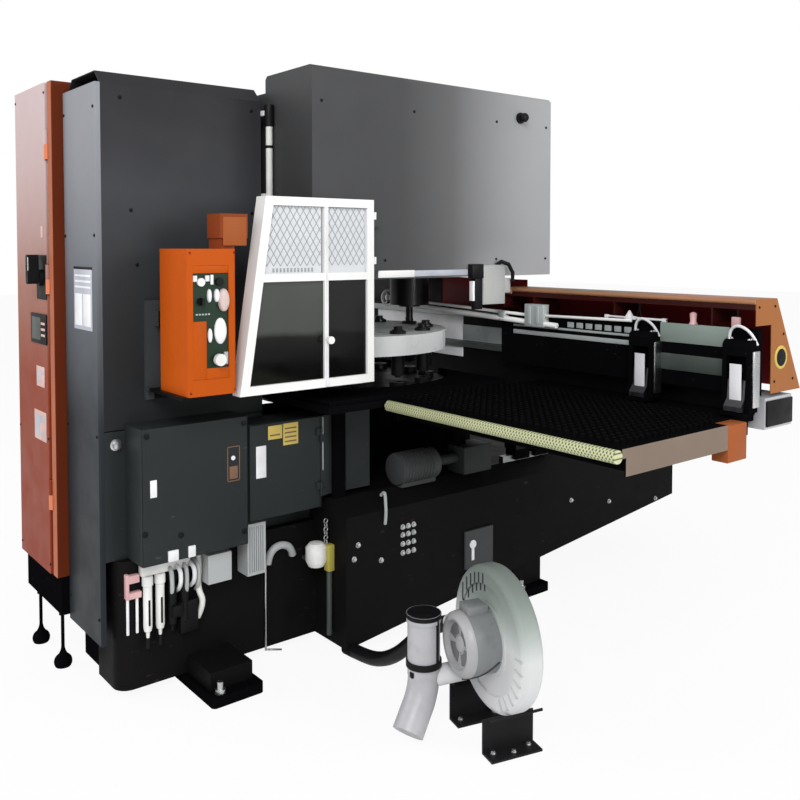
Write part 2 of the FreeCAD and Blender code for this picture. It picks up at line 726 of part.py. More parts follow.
def guard_frame():
    rim = slab_x(guard_outline(0), guard_x0, guard_x1)
    rim = rim.cut(slab_x(guard_outline(guard_rim), guard_x0 - 1, guard_x1 + 1))
    inner = slab_x(guard_outline(guard_rim), guard_x0, guard_x1)
    rail = box(guard_x0, guard_x1, guard_near_low, guard_far, guard_rail_z - 15.0, guard_rail_z + 15.0)
    post = box(guard_x0, guard_x1, guard_mullion - 9.0, guard_mullion + 9.0, guard_z0, guard_z1)
    wing = guard_outline(0)[:2]
    strip = [(wing[0][0], wing[0][1]), (wing[1][0], wing[1][1]),
             (wing[1][0] + 6.0, wing[1][1]), (wing[0][0] + 6.0, wing[0][1])]
    side = slab_x(strip, guard_x1 - guard_return, guard_x0)
    knob = bar_x(guard_x1, guard_x1 + 28.0, guard_mullion, guard_z0 + 190.0, 8.0)
    knob_head = bar_x(guard_x1 + 20.0, guard_x1 + 34.0, guard_mullion, guard_z0 + 190.0, 15.0)
    frame = join([rim, rail.common(inner), post.common(inner), side, knob, knob_head])
    for z in guard_hinge_heights:
        lug = disc(guard_hinge_x, guard_hinge_y, z + gap, z + 30.0, 10.0)
        leaf = box(guard_hinge_x - 3.0, guard_hinge_x + 3.0, guard_far - 1.0, guard_hinge_y,
                   z + gap, z + 30.0)
        bore = disc(guard_hinge_x, guard_hinge_y, z - 1, z + 31.0, 5.0 + run_fit)
        frame = less(join([frame, lug, leaf]), [bore])
    return frame


def guard_hinges():
    hinges = []
    for z in guard_hinge_heights:
        pin = disc(guard_hinge_x, guard_hinge_y, z - 30.0, z + 34.0, 5.0)
        lug = disc(guard_hinge_x, guard_hinge_y, z - 30.0, z, 10.0)
        leaf = box(bridge_half, guard_hinge_x, guard_hinge_y, guard_hinge_y + 26.0, z - 30.0, z)
        hinges.append(join([pin, lug, leaf]))
    return hinges


def guard_panes(z0, z1, thickness):
    """The two panes either side of the post, between two heights."""
    middle = guard_x0 + guard_depth / 2.0
    pane = slab_x(guard_outline(guard_rim), middle - thickness / 2.0, middle + thickness / 2.0)
    band = box(middle - 40.0, middle + 40.0, guard_near_low - 10.0, guard_far + 10.0, z0, z1)
    post = box(middle - 40.0, middle + 40.0, guard_mullion - 9.0, guard_mullion + 9.0, z0, z1)
    return pane.common(band).cut(post)


def guard_window():
    return group(guard_panes(guard_z0, guard_rail_z - 15.0, 5.0).Solids)


def guard_mesh():
    """The upper panes, as plain sheet the thickness of their expanded metal."""
    sheet = guard_panes(guard_rail_z + 15.0, guard_z1, 3.0)
    return group(sheet.Solids)


# ---- turret and tools ----

shaft_cap = 14.0
upper_hub = 60.0


def upper_turret():
    top = upper_turret_z + upper_turret_height
    plate = disc(0, turret_y, upper_turret_z, top, turret_radius)
    hub = disc(0, turret_y, top, top + upper_hub, turret_shaft_radius + 40.0)
    body = join([plate, hub])
    bore = disc(0, turret_y, upper_turret_z - 1, top + upper_hub + 1, turret_shaft_radius + run_fit)
    body = body.cut(bore)
    for x, y in ring_places(station_count, pitch_radius, 0, turret_y):
        body = body.cut(disc(x, y, upper_turret_z - 1, top + 1, guide_radius + run_fit))
    return body


guide_flange = 38.0
guide_bottom = sheet_line + 30.0
punch_top = upper_turret_z + upper_turret_height + 32.0


def punch_guide(x, y):
    top = upper_turret_z + upper_turret_height
    sleeve = disc(x, y, guide_bottom, top + 12.0, guide_radius)
    flange = disc(x, y, top, top + 12.0, guide_flange)
    bore = disc(x, y, guide_bottom - 1, top + 13.0, punch_radius + run_fit)
    return join([sleeve, flange]).cut(bore)


def punch(x, y):
    shank = disc(x, y, guide_bottom, punch_top, punch_radius)
    tip = disc(x, y, guide_bottom - 10.0, guide_bottom, punch_tip_radius)
    return join([shank, tip])


def tool_stations():
    return list(ring_places(station_count, pitch_radius, 0, turret_y))


def idle_stations():
    """Stations with a punch that the ram isn't over; the one opposite the ram is empty."""
    places = tool_stations()
    return places[1:station_count // 2] + places[station_count // 2 + 1:]


def punch_tools():
    guides = [punch_guide(x, y) for x, y in tool_stations()]
    idle = [punch(x, y) for x, y in idle_stations()]
    top = upper_turret_z + upper_turret_height
    collars = [disc(x, y, top + 12.0, top + 18.0, punch_radius + 8.0) for x, y in idle_stations()]
    held = [join([one, ring]) for one, ring in zip(idle, collars)]
    return group(guides + held)


def active_punch():
    return punch(*tool_stations()[0])


die_depth = 30.0


def lower_turret():
    plate = disc(0, turret_y, lower_turret_z, lower_turret_top, turret_radius)
    bore = disc(0, turret_y, lower_turret_z - 1, lower_turret_top + 1, turret_shaft_radius + run_fit)
    plate = plate.cut(bore)
    for x, y in tool_stations():
        seat = disc(x, y, lower_turret_top - die_depth, lower_turret_top + 1, die_radius + run_fit)
        slug_way = disc(x, y, lower_turret_z - 1, lower_turret_top, punch_tip_radius + 8.0)
        plate = less(plate, [seat, slug_way])
    return plate


def dies():
    rings = []
    for x, y in tool_stations()[:1] + idle_stations():
        ring = disc(x, y, lower_turret_top - die_depth, sheet_line - 1.0, die_radius)
        rings.append(ring.cut(disc(x, y, 0, sheet_line, punch_tip_radius + 1.0)))
    return group(rings)


def turret_shafts():
    top = upper_turret_z + upper_turret_height + upper_hub
    upper = disc(0, turret_y, upper_turret_z - shaft_cap, arm_z, turret_shaft_radius)
    cap = disc(0, turret_y, upper_turret_z - shaft_cap, upper_turret_z - gap, turret_shaft_radius + 20.0)
    collar = disc(0, turret_y, top + gap, arm_z, turret_shaft_radius + 30.0)
    lower = disc(0, turret_y, lower_arm_z, lower_turret_top + shaft_cap, turret_shaft_radius)
    seat = disc(0, turret_y, lower_arm_z, lower_turret_z - gap, turret_shaft_radius + 40.0)
    low_cap = disc(0, turret_y, lower_turret_top + gap, lower_turret_top + shaft_cap,
                   turret_shaft_radius + 20.0)
    return group([join([upper, cap, collar]), join([lower, seat, low_cap])])


ram_housing_z = 1440.0
striker_radius = 18.0
ram_shoulder = ram_housing_z - 10.0


def ram_housing():
    barrel = disc(0, punch_y, ram_housing_z, arm_z, ram_radius + 45.0)
    flange = disc(0, punch_y, arm_z - 30.0, arm_z, ram_radius + 75.0)
    bore = disc(0, punch_y, ram_housing_z - 1, arm_z - 10.0, ram_radius + run_fit)
    return join([barrel, flange]).cut(bore)


def ram():
    body = disc(0, punch_y, ram_shoulder, arm_z - 20.0, ram_radius)
    striker = disc(0, punch_y, punch_top + gap, ram_shoulder, striker_radius)
    return join([body, striker])


# ---- fixed table ----

center_half = 640.0
center_far_margin = 80.0
leg_half_x = 10.0
leg_half_y = 30.0


def center_table():
    near = bridge_near + 30.0
    far = punch_y + center_far_margin
    top = box(-center_half, center_half, near, far, table_top - table_thick, table_top)
    brush = box(-center_half + 15.0, center_half - 15.0, near + 15.0, far, table_top, sheet_line - 2.0)
    legs = []
    leg_x = bed_half - bed_shoulder - leg_half_x - 1.0
    for x in (-leg_x, leg_x):
        for y in (bed_near + 40.0, far - 120.0):
            legs.append(box(x - leg_half_x, x + leg_half_x, y - leg_half_y, y + leg_half_y,
                            bed_top, table_top - table_thick))
    turret_hole = disc(0, turret_y, lower_arm_z, sheet_line + 10.0, turret_radius + 10.0)
    return group([join([top, brush]).cut(turret_hole)] + legs)


# ---- sheet carriage, Y axis ----

beam_y1 = web_y + beam_depth
y_block_near = web_y + 40.0
y_block_length = 100.0
y_block_step = 40.0
y_rail_height = 30.0
beam_wall = 15.0


def y_rails():
    rail = box(y_rail_x - rail_half, y_rail_x + rail_half, punch_y + 240.0, y_far - 15.0,
               bed_top, bed_top + y_rail_height)
    return both_sides(rail)


def y_block_places():
    return (y_block_near, y_block_near + y_block_length + y_block_step)


def y_blocks():
    blocks = []
    for side in (-1, 1):
        x = side * y_rail_x
        for y in y_block_places():
            block = box(x - 35.0, x + 35.0, y, y + y_block_length, bed_top + 8.0, bed_top + 60.0)
            room = box(x - rail_half - gap, x + rail_half + gap, y - 1, y + y_block_length + 1,
                       bed_top, bed_top + y_rail_height + gap)
            blocks.append(block.cut(room))
    return group(blocks)


def carriage_beam():
    """Box beam with the upright web that carries the X rails, on two legs."""
    end_y1 = web_y + beam_end_depth
    wall = beam_wall
    beam = box(-beam_half, beam_half, web_y, end_y1, beam_z, beam_top)
    hollow = box(-beam_half - 1, beam_half + 1, web_y + wall, end_y1 - wall, beam_z + wall, beam_top - wall)
    middle = box(-beam_middle, beam_middle, end_y1 - wall, beam_y1, beam_z, beam_top)
    room = box(wall - beam_middle, beam_middle - wall, end_y1, beam_y1 - wall, beam_z + wall, beam_top - wall)
    web_end = beam_half - beam_end_margin
    web = box(-web_end, web_end, web_y, web_y + web_depth, beam_top, web_top)
    legs = []
    leg_near = y_block_near - 5.0
    leg_far = y_block_near + 2 * y_block_length + y_block_step + 5.0
    for x in (-y_rail_x, y_rail_x):
        legs.append(box(x - 40.0, x + 40.0, leg_near, leg_far, bed_top + 60.0, beam_z))
    nut = box(-45.0, 45.0, screw_nut_y, screw_nut_y + 60.0, screw_z - 45.0, beam_z)
    screw_room = bar_y(0, screw_nut_y - 10.0, screw_nut_y + 80.0, screw_z, screw_radius + gap)
    return less(join([beam.cut(hollow), middle.cut(room), web] + legs + [nut]), [screw_room])


screw_radius = 16.0
screw_z = bed_top + 75.0
screw_nut_y = web_y + 60.0
screw_near = punch_y + frame_past_punch + 5.0


def y_screw():
    """Ball screw of the Y axis with its pulley."""
    far = y_far - 60.0
    return join([bar_y(0, screw_near, far, screw_z, screw_radius),
                 bar_y(0, far - 50.0, far - 26.0, screw_z, 45.0)])


def screw_supports():
    """Bearing blocks of the ball screw, on the bed."""
    blocks = []
    for y in (screw_near + 3.0, y_far - 170.0):
        block = box(-50.0, 50.0, y, y + 30.0, bed_top, screw_z + 40.0)
        blocks.append(block.cut(bar_y(0, y - 1, y + 31.0, screw_z, screw_radius + run_fit)))
    return group(blocks)


table_near = web_y - table_reach


def open_corner(x, y, z0, z1):
    """Room for the bracket at the beam's end, cut from the table's far outer corner."""
    return box(x - table_notch_x, x + 1, y - table_notch_y, y + 1, z0, z1)


def side_tables():
    top = box(table_inner, table_outer, table_near, web_y, table_top - table_thick, table_top)
    brace_y = (table_near + 60.0, (table_near + web_y) / 2.0, web_y - 60.0)
    braces = [box(table_inner + 20.0, table_outer - 20.0, y - 20.0, y + 20.0,
                  table_top - table_thick - 50.0, table_top - table_thick) for y in brace_y]
    hanger = box(table_outer - 8.0, table_outer, table_near + 20.0, web_y, beam_z - 30.0, table_top)
    inner_hanger = box(table_inner, table_inner + 8.0, table_near + 20.0, web_y, beam_z - 30.0, table_top)
    table = join([top] + braces + [hanger, inner_hanger])
    return both_sides(table.cut(open_corner(table_outer, web_y, 0, sheet_line)))


def side_brushes():
    pad = box(table_inner + 12.0, table_outer - 12.0, table_near + 14.0, punch_y + 95.0,
              table_top, sheet_line - 2.0)
    return both_sides(pad.cut(open_corner(table_outer - 12.0, web_y - 12.0, 0, sheet_line)))


def table_bumpers():
    """Padded tube along each table's near edge."""
    z = table_top - bumper_radius
    tube = bar_x(table_inner, table_outer, table_near - bumper_radius, z, bumper_radius)
    return both_sides(tube)


# ---- sheet carriage, X axis ----

rail_depth = 25.0
x_rail_heights = (1230.0, 1390.0)
x_rail_half_height = 15.0
plate_y1 = web_y - 53.0
plate_y0 = plate_y1 - 27.0
plate_z0 = 1180.0
plate_z1 = 1430.0
x_carriage_x0 = x_plate_end - x_carriage_length


def x_rails():
    web_end = beam_half - beam_end_margin
    return group([box(-web_end + 20.0, web_end - 20.0, web_y - rail_depth, web_y,
                      z - x_rail_half_height, z + x_rail_half_height) for z in x_rail_heights])


def x_carriage():
    """Long plate on four bearing blocks."""
    plate = box(x_carriage_x0, x_plate_end, plate_y0, plate_y1, plate_z0, plate_z1)
    pieces = [plate]
    for x in (x_carriage_x0 + 60.0, x_cover_end - 200.0):
        for z in x_rail_heights:
            block = box(x, x + 140.0, plate_y1, web_y - 6.0, z - 30.0, z + 30.0)
            room = box(x - 1, x + 141.0, web_y - rail_depth - gap, web_y,
                       z - x_rail_half_height - gap, z + x_rail_half_height + gap)
            pieces.append(block.cut(room))
    return join(pieces)


def x_cover():
    """Folded channel over the X drive, on ribs that stand on the carriage plate."""
    y0 = plate_y0 + 10.0
    roof, y1 = y0 + x_cover_roof, y0 + x_cover_depth
    z0 = beam_top + 15.0
    sheet = 3.0
    over_web = web_top + 20.0
    behind_web = web_y + web_depth + 10.0

    def slope_y(z):
        return roof + (y1 - roof) * (x_cover_top - z) / (x_cover_top - z0)

    top = box(x_carriage_x0, x_cover_end, y0, roof, x_cover_top - sheet, x_cover_top)
    lip = box(x_carriage_x0, x_cover_end, y0, y0 + sheet, x_cover_top - 40.0, x_cover_top)
    back = slab_x([(roof - sheet, x_cover_top), (roof, x_cover_top), (y1, z0), (y1 - sheet, z0)],
                  x_carriage_x0, x_cover_end)
    ends = []
    for x in (x_carriage_x0, x_cover_end - sheet):
        end = slab_x([(y0, over_web), (y0, x_cover_top), (roof, x_cover_top), (y1, z0), (behind_web, z0),
                      (behind_web, over_web)], x, x + sheet)
        port = bar_x(x - 1, x + sheet + 1, cover_port_y, cover_port_z, 38.0)
        ends.append(end.cut(port))
    ribs = []
    for step in range(3):
        x = x_carriage_x0 + 200.0 + step * (x_carriage_length - 400.0) / 2.0 - 4.0
        ribs.append(slab_x([(y0, plate_z1), (y0, x_cover_top - sheet), (roof - sheet, x_cover_top - sheet),
                            (slope_y(over_web) - sheet, over_web), (plate_y1, over_web),
                            (plate_y1, plate_z1)], x, x + 8.0))
    return join([top, lip, back] + ends + ribs)


jaw_pivot_z = sheet_line + 90.0
jaw_pin_radius = 6.0


def clamp_places():
    last = x_plate_end - clamp_width
    return (last - clamp_pitch, last)


def clamp_bodies():
    """Each clamp is a round-topped block with a fixed lower jaw and two pivot lugs."""
    bodies = []
    y1 = plate_y0
    y0 = y1 - clamp_depth
    for x in clamp_places():
        block = box(x, x + clamp_width, y0 + 12.0, y1, sheet_line, clamp_top)
        block = round_edges(block, 28.0, X_AXIS, lambda p: p.z > clamp_top - 1 and p.y < y1 - 1)
        jaw_room = box(x + 18.0, x + clamp_width - 18.0, y0 - 1, y1 - 12.0,
                       sheet_line + 8.0, clamp_top - 60.0)
        lower = box(x + 10.0, x + clamp_width - 10.0, y0 - 14.0, y1, sheet_line - 12.0, sheet_line)
        pin = bar_x(x, x + clamp_width, y0 + 34.0, jaw_pivot_z, jaw_pin_radius)
        bodies.append(join([block.cut(jaw_room), lower, pin]))
    return group(bodies)


def clamp_jaw(x):
    """Upper jaw: a lever on the pivot pin whose toe comes down on the sheet."""
    y0 = plate_y0 - clamp_depth
    pivot_y = y0 + 34.0
    outline = [
        (y0 - 12.0, sheet_line + 4.0), (y0 - 12.0, sheet_line + 22.0), (y0 + 12.0, sheet_line + 50.0),
        (y0 + 18.0, jaw_pivot_z + 30.0), (pivot_y + 10.0, jaw_pivot_z + 30.0),
        (pivot_y + 12.0, sheet_line + 40.0), (y0 + 14.0, sheet_line + 12.0), (y0 + 2.0, sheet_line + 4.0)]
    lever = slab_x(outline, x + 22.0, x + clamp_width - 22.0)
    return lever.cut(bar_x(x, x + clamp_width, pivot_y, jaw_pivot_z, jaw_pin_radius + run_fit))


# ---- blower and its hose ----

motor_shaft = 14.0
inlet_stub = 95.0
casing_wall = 22.0
casing_round = 24.0
rotor_rim = 40.0             # from the casing's rim in to the rotor's
motor_near = -blower_width / 2.0 - motor_length
silencer_x = -112.0
silencer_y = motor_near - 65.0
outlet_z = -145.0


def placed(shape):
    """Take a shape made about the motor's shaft to the blower's place on the floor."""
    turned = shape.copy()
    turned.rotate(vec(0, 0, 0), Z_AXIS, blower_turn)
    turned.translate(vec(blower_x, blower_y, blower_height))
    return turned


def shaft_bar(y0, y1, radius):
    return bar_y(0, y0, y1, 0, radius)


def inlet_axis():
    """End of the hose, and the direction in which it goes into the blower."""
    inward = hose_points[-1] - hose_points[-2]
    inward.normalize()
    return hose_points[-1], inward


def blower_casing():
    """Ring-shaped pump casing, with an inlet stub and the duct to the silencer."""
    front, back = -blower_width / 2.0, blower_width / 2.0
    ring = shaft_bar(front, back, blower_radius)
    rims = [edge for edge in ring.Edges if isinstance(edge.Curve, Part.Circle)]
    ring = ring.makeFillet(casing_round, rims)
    dish = shaft_bar(front - 1, front + 8.0, blower_radius - 62.0)
    hub = shaft_bar(front, front + 9.0, motor_radius + 12.0)
    ring = join([ring.cut(dish), hub])
    room = shaft_bar(front + casing_wall, back - casing_wall / 2.0, blower_radius - casing_wall)
    shaft_hole = shaft_bar(front - 1, front + casing_wall + 1, motor_shaft + run_fit)
    duct = bar_y(silencer_x + 15.0, silencer_y, front + casing_wall / 2.0, outlet_z, silencer_radius - 22.0)
    duct = duct.cut(disc(silencer_x, silencer_y, -blower_height, 0, silencer_radius))
    inlet, inward = inlet_axis()
    stub = Part.makeCylinder(hose_radius, inlet_stub, inlet, inward)
    whole = join([placed(join([ring, duct])), stub])
    return less(whole, [placed(room), placed(shaft_hole)])


def blower_motor():
    front = -blower_width / 2.0
    body = shaft_bar(motor_near, front, motor_radius)
    cap_edge = [edge for edge in body.Edges if abs(edge.CenterOfMass.y - motor_near) < 1.0]
    body = body.makeFillet(motor_radius / 7.0, cap_edge)
    shaft_room = shaft_bar(front - 50.0, front + 1, motor_shaft + run_fit)
    terminal = box(-36.0, 36.0, motor_near + 35.0, front - 12.0, motor_radius - 20.0, motor_radius + 24.0)
    return placed(join([body, terminal]).cut(shaft_room))


def blower_rotor():
    """Vaned wheel on the motor's shaft."""
    front = -blower_width / 2.0 + casing_wall + 6.0
    back = blower_width / 2.0 - casing_wall / 2.0 - 6.0
    wheel = shaft_bar(front, back, blower_radius - rotor_rim)
    shaft = shaft_bar(-blower_width / 2.0 - 45.0, front + 1, motor_shaft)
    vane_count = 12
    vane_circle = (blower_radius - rotor_rim) * 0.75
    pockets = []
    for step in range(vane_count):
        angle = 2.0 * math.pi * step / vane_count
        x = vane_circle * math.cos(angle)
        z = vane_circle * math.sin(angle)
        pockets.append(bar_y(x, front - 1, (front + back) / 2.0, z, vane_circle * 0.2))
    return placed(less(join([wheel, shaft]), pockets))


stand_top = 150.0
stand_foot = 70.0
stand_plate = 8.0


def blower_stand():
    """Two angle brackets under the casing, bolted to the floor."""
    feet = []
    floor = -blower_height
    for x in (-170.0, 75.0):
        plate = box(x, x + stand_plate, -stand_reach, stand_reach, floor, floor + stand_top)
        foot = box(x, x + stand_foot, -stand_reach, stand_reach, floor, floor + stand_plate)
        shelf = box(x, x + stand_foot, -stand_reach, stand_reach, floor + stand_top - stand_plate,
                    floor + stand_top)
        feet.append(join([plate, foot, shelf]))
    casing = shaft_bar(-stand_reach - 1, stand_reach + 1, blower_radius)
    return group([placed(foot.cut(casing)) for foot in feet])


def outlet_silencer():
    """Upright silencer barrel with a cap, and the horn that leans its outlet to the floor."""
    foot = 225.0 - blower_height
    top = 445.0 - blower_height
    barrel = disc(silencer_x, silencer_y, foot, top - 30.0, silencer_radius)
    cap = disc(silencer_x, silencer_y, top - 30.0, top, silencer_radius + 4.0)
    bead = disc(silencer_x, silencer_y, foot + 30.0, foot + 52.0, silencer_radius + 5.0)
    lean = math.radians(horn_lean)
    across = vec(math.sin(math.radians(horn_turn)), -math.cos(math.radians(horn_turn)), 0)
    start = vec(silencer_x, silencer_y, foot)

    def bend_point(angle):
        return start + across * (horn_bend * (1 - math.cos(angle))) - Z_AXIS * (horn_bend * math.sin(angle))

    mouth_way = across * math.sin(lean) - Z_AXIS * math.cos(lean)
    arc = Part.Arc(start, bend_point(lean / 2.0), bend_point(lean)).toShape()
    run = Part.LineSegment(bend_point(lean), bend_point(lean) + mouth_way * horn_run).toShape()
    section = Part.Wire([Part.Circle(start, Z_AXIS, silencer_radius - 2.0).toShape()])
    horn = Part.Wire([arc, run]).makePipeShell([section], True, False)
    return placed(join([barrel, cap, bead, horn]))


def suction_hose():
    """Straight runs joined by tangent arcs through the hose's route."""
    bends = []
    for before, corner, after in zip(hose_points, hose_points[1:], hose_points[2:]):
        run_in, run_out = corner - before, after - corner
        reach = 0.45 * min(run_in.Length, run_out.Length)
        half_turn = run_in.getAngle(run_out) / 2.0
        radius = reach / math.tan(half_turn)
        run_in.normalize()
        run_out.normalize()
        start, end = corner - run_in * reach, corner + run_out * reach
        inward = run_out - run_in
        inward.normalize()
        middle = corner + inward * (radius / math.cos(half_turn) - radius)
        bends.append((start, middle, end))
        print("hose bend radius", round(radius))
    edges = []
    last = hose_points[0]
    for start, middle, end in bends:
        edges.append(Part.LineSegment(last, start).toShape())
        edges.append(Part.Arc(start, middle, end).toShape())
        last = end
    edges.append(Part.LineSegment(last, hose_points[-1]).toShape())
    path = Part.Wire(edges)
    first_run = hose_points[1] - hose_points[0]
    section = Part.Wire([Part.Circle(hose_points[0], first_run, hose_radius).toShape()])
    tube = path.makePipeShell([section], True, False)
    print("hose length", round(path.Length, 1), "volume share",
          round(tube.Volume / (math.pi * hose_radius ** 2 * path.Length), 4))
    return tube


# ---- what hangs on the base's side ----

def air_unit():
    """Air manifold on the base with four filter bowls hanging from it."""
    near = column_near + base_corner + 10.0
    rail = box(base_half, base_half + 36.0, near, near + 200.0, 480.0, 520.0)
    valves = [box(base_half, base_half + 44.0, near + offset, near + offset + 34.0, 520.0, 536.0)
              for offset in (60.0, 130.0)]
    bowls = []
    x = base_half + 28.0
    for step in range(4):
        y = near + 25.0 + step * 50.0
        bowls.append(join([disc(x, y, 440.0, 480.0, 21.0), disc(x, y, 262.0, 440.0, 17.0),
                           disc(x, y, 240.0, 262.0, 7.0)]))
    return group([join([rail] + valves)] + bowls)


def base_boxes():
    """Grey valve box and ribbed vent box on the base's side."""
    valve_near = end_face + 384.0
    valve = box(base_half, base_half + 80.0, valve_near, valve_near + 102.0, 404.0, 519.0)
    vent_near = lower_box_far + 6.0
    vent = box(base_half, base_half + 85.0, vent_near, vent_near + 84.0, 398.0, service_z - 20.0)
    slats = [box(base_half + 79.0, base_half + 86.0, vent_near + 8.0 + step * 10.0,
                 vent_near + 13.0 + step * 10.0, 410.0, service_z - 32.0) for step in range(7)]
    return group([valve, less(vent, slats)])


def main():
    os.makedirs("parts", exist_ok=True)
    nodes = {
        "bed": bed(),
        "c_frame": c_frame(),
        "floor_pads": floor_pads(),
        "jack_bolts": jack_bolts(),
        "front_upper_cover": front_upper_cover(),
        "end_side_panel": end_side_panel(),
        "bridge_cover": bridge_cover(),
        "lower_column_cover": lower_column_cover(),
        "lower_front_box": lower_front_box(),
        "lower_side_panel": lower_side_panel(),
        "lower_door": lower_door(),
        "cabinet_shell": cabinet_shell(),
        "cabinet_plinth": cabinet_plinth(),
        "cabinet_feet": cabinet_feet(),
        "cabinet_door": cabinet_door(),
        "disconnect_handle": disconnect_handle(),
        "drive_modules": drive_modules(),
        "control_box": control_box(),
        "control_plate": control_plate(),
        "start_button": push_button("start_button"),
        "stop_button": push_button("stop_button"),
        "estop_button": estop_button(),
        "mode_selector": mode_selector(),
        "control_tray": control_tray(),
        "junction_box": junction_box(),
        "light_bar": light_bar(),
        "guard_frame": guard_frame(),
        "guard_mesh": guard_mesh(),
        "guard_window": guard_window(),
        "upper_turret": upper_turret(),
        "lower_turret": lower_turret(),
        "turret_shafts": turret_shafts(),
        "punch_tools": punch_tools(),
        "active_punch": active_punch(),
        "dies": dies(),
        "ram_housing": ram_housing(),
        "ram": ram(),
        "center_table": center_table(),
        "y_rails": y_rails(),
        "y_blocks": y_blocks(),
        "carriage_beam": carriage_beam(),
        "y_screw": y_screw(),
        "screw_supports": screw_supports(),
        "side_tables": side_tables(),
        "side_brushes": side_brushes(),
        "table_bumpers": table_bumpers(),
        "x_rails": x_rails(),
        "x_carriage": x_carriage(),
        "x_cover": x_cover(),
        "clamp_bodies": clamp_bodies(),
        "clamp_jaw_left": clamp_jaw(clamp_places()[0]),
        "clamp_jaw_right": clamp_jaw(clamp_places()[1]),
        "blower_casing": blower_casing(),
        "blower_motor": blower_motor(),
        "blower_rotor": blower_rotor(),
        "blower_stand": blower_stand(),
        "outlet_silencer": outlet_silencer(),
        "suction_hose": suction_hose(),
        "air_unit": air_unit(),
        "base_boxes": base_boxes(),
    }
    for name, shape in nodes.items():
        if not shape.isValid():
            print("invalid:", name)
        shape.exportStep("parts/" + name + ".step")
    print(len(nodes), "nodes")


main()
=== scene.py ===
import math
import random

import bmesh
import bpy
from mathutils import Matrix, Vector


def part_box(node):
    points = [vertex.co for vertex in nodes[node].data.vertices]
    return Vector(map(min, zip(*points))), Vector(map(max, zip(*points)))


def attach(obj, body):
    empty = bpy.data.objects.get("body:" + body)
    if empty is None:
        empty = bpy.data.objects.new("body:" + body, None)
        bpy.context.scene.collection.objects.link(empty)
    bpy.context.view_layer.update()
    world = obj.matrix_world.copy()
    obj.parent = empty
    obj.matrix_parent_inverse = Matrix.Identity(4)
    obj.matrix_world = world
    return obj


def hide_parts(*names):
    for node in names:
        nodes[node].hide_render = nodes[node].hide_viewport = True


# Looks of a CNC turret punch press, in metres, in the machine's own frame: +Z up, the floor
# at Z = 0, the column near -Y and the control on the +X side.

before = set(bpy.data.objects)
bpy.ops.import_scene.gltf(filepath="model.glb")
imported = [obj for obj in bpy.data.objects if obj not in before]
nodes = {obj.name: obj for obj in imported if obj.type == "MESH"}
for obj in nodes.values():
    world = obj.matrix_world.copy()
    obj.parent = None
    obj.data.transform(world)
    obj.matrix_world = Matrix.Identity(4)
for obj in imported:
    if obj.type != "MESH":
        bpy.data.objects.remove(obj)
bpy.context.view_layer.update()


# ---- materials ----

surfaces = {}


class Nodes:
    """Shader nodes of a material or a world."""

    def __init__(self, owner):
        owner.use_nodes = True
        self.tree = owner.node_tree

    def fill(self, node, inputs):
        """Give inputs of a node a value, or a link where the value is another node's output."""
        for socket, value in inputs.items():
            if isinstance(value, bpy.types.NodeSocket):
                self.tree.links.new(value, node.inputs[socket])
            else:
                node.inputs[socket].default_value = value
        return node

    def add(self, kind, inputs=None, **settings):
        node = self.tree.nodes.new("ShaderNode" + kind)
        for key, value in settings.items():
            setattr(node, key, value)
        return self.fill(node, inputs or {})


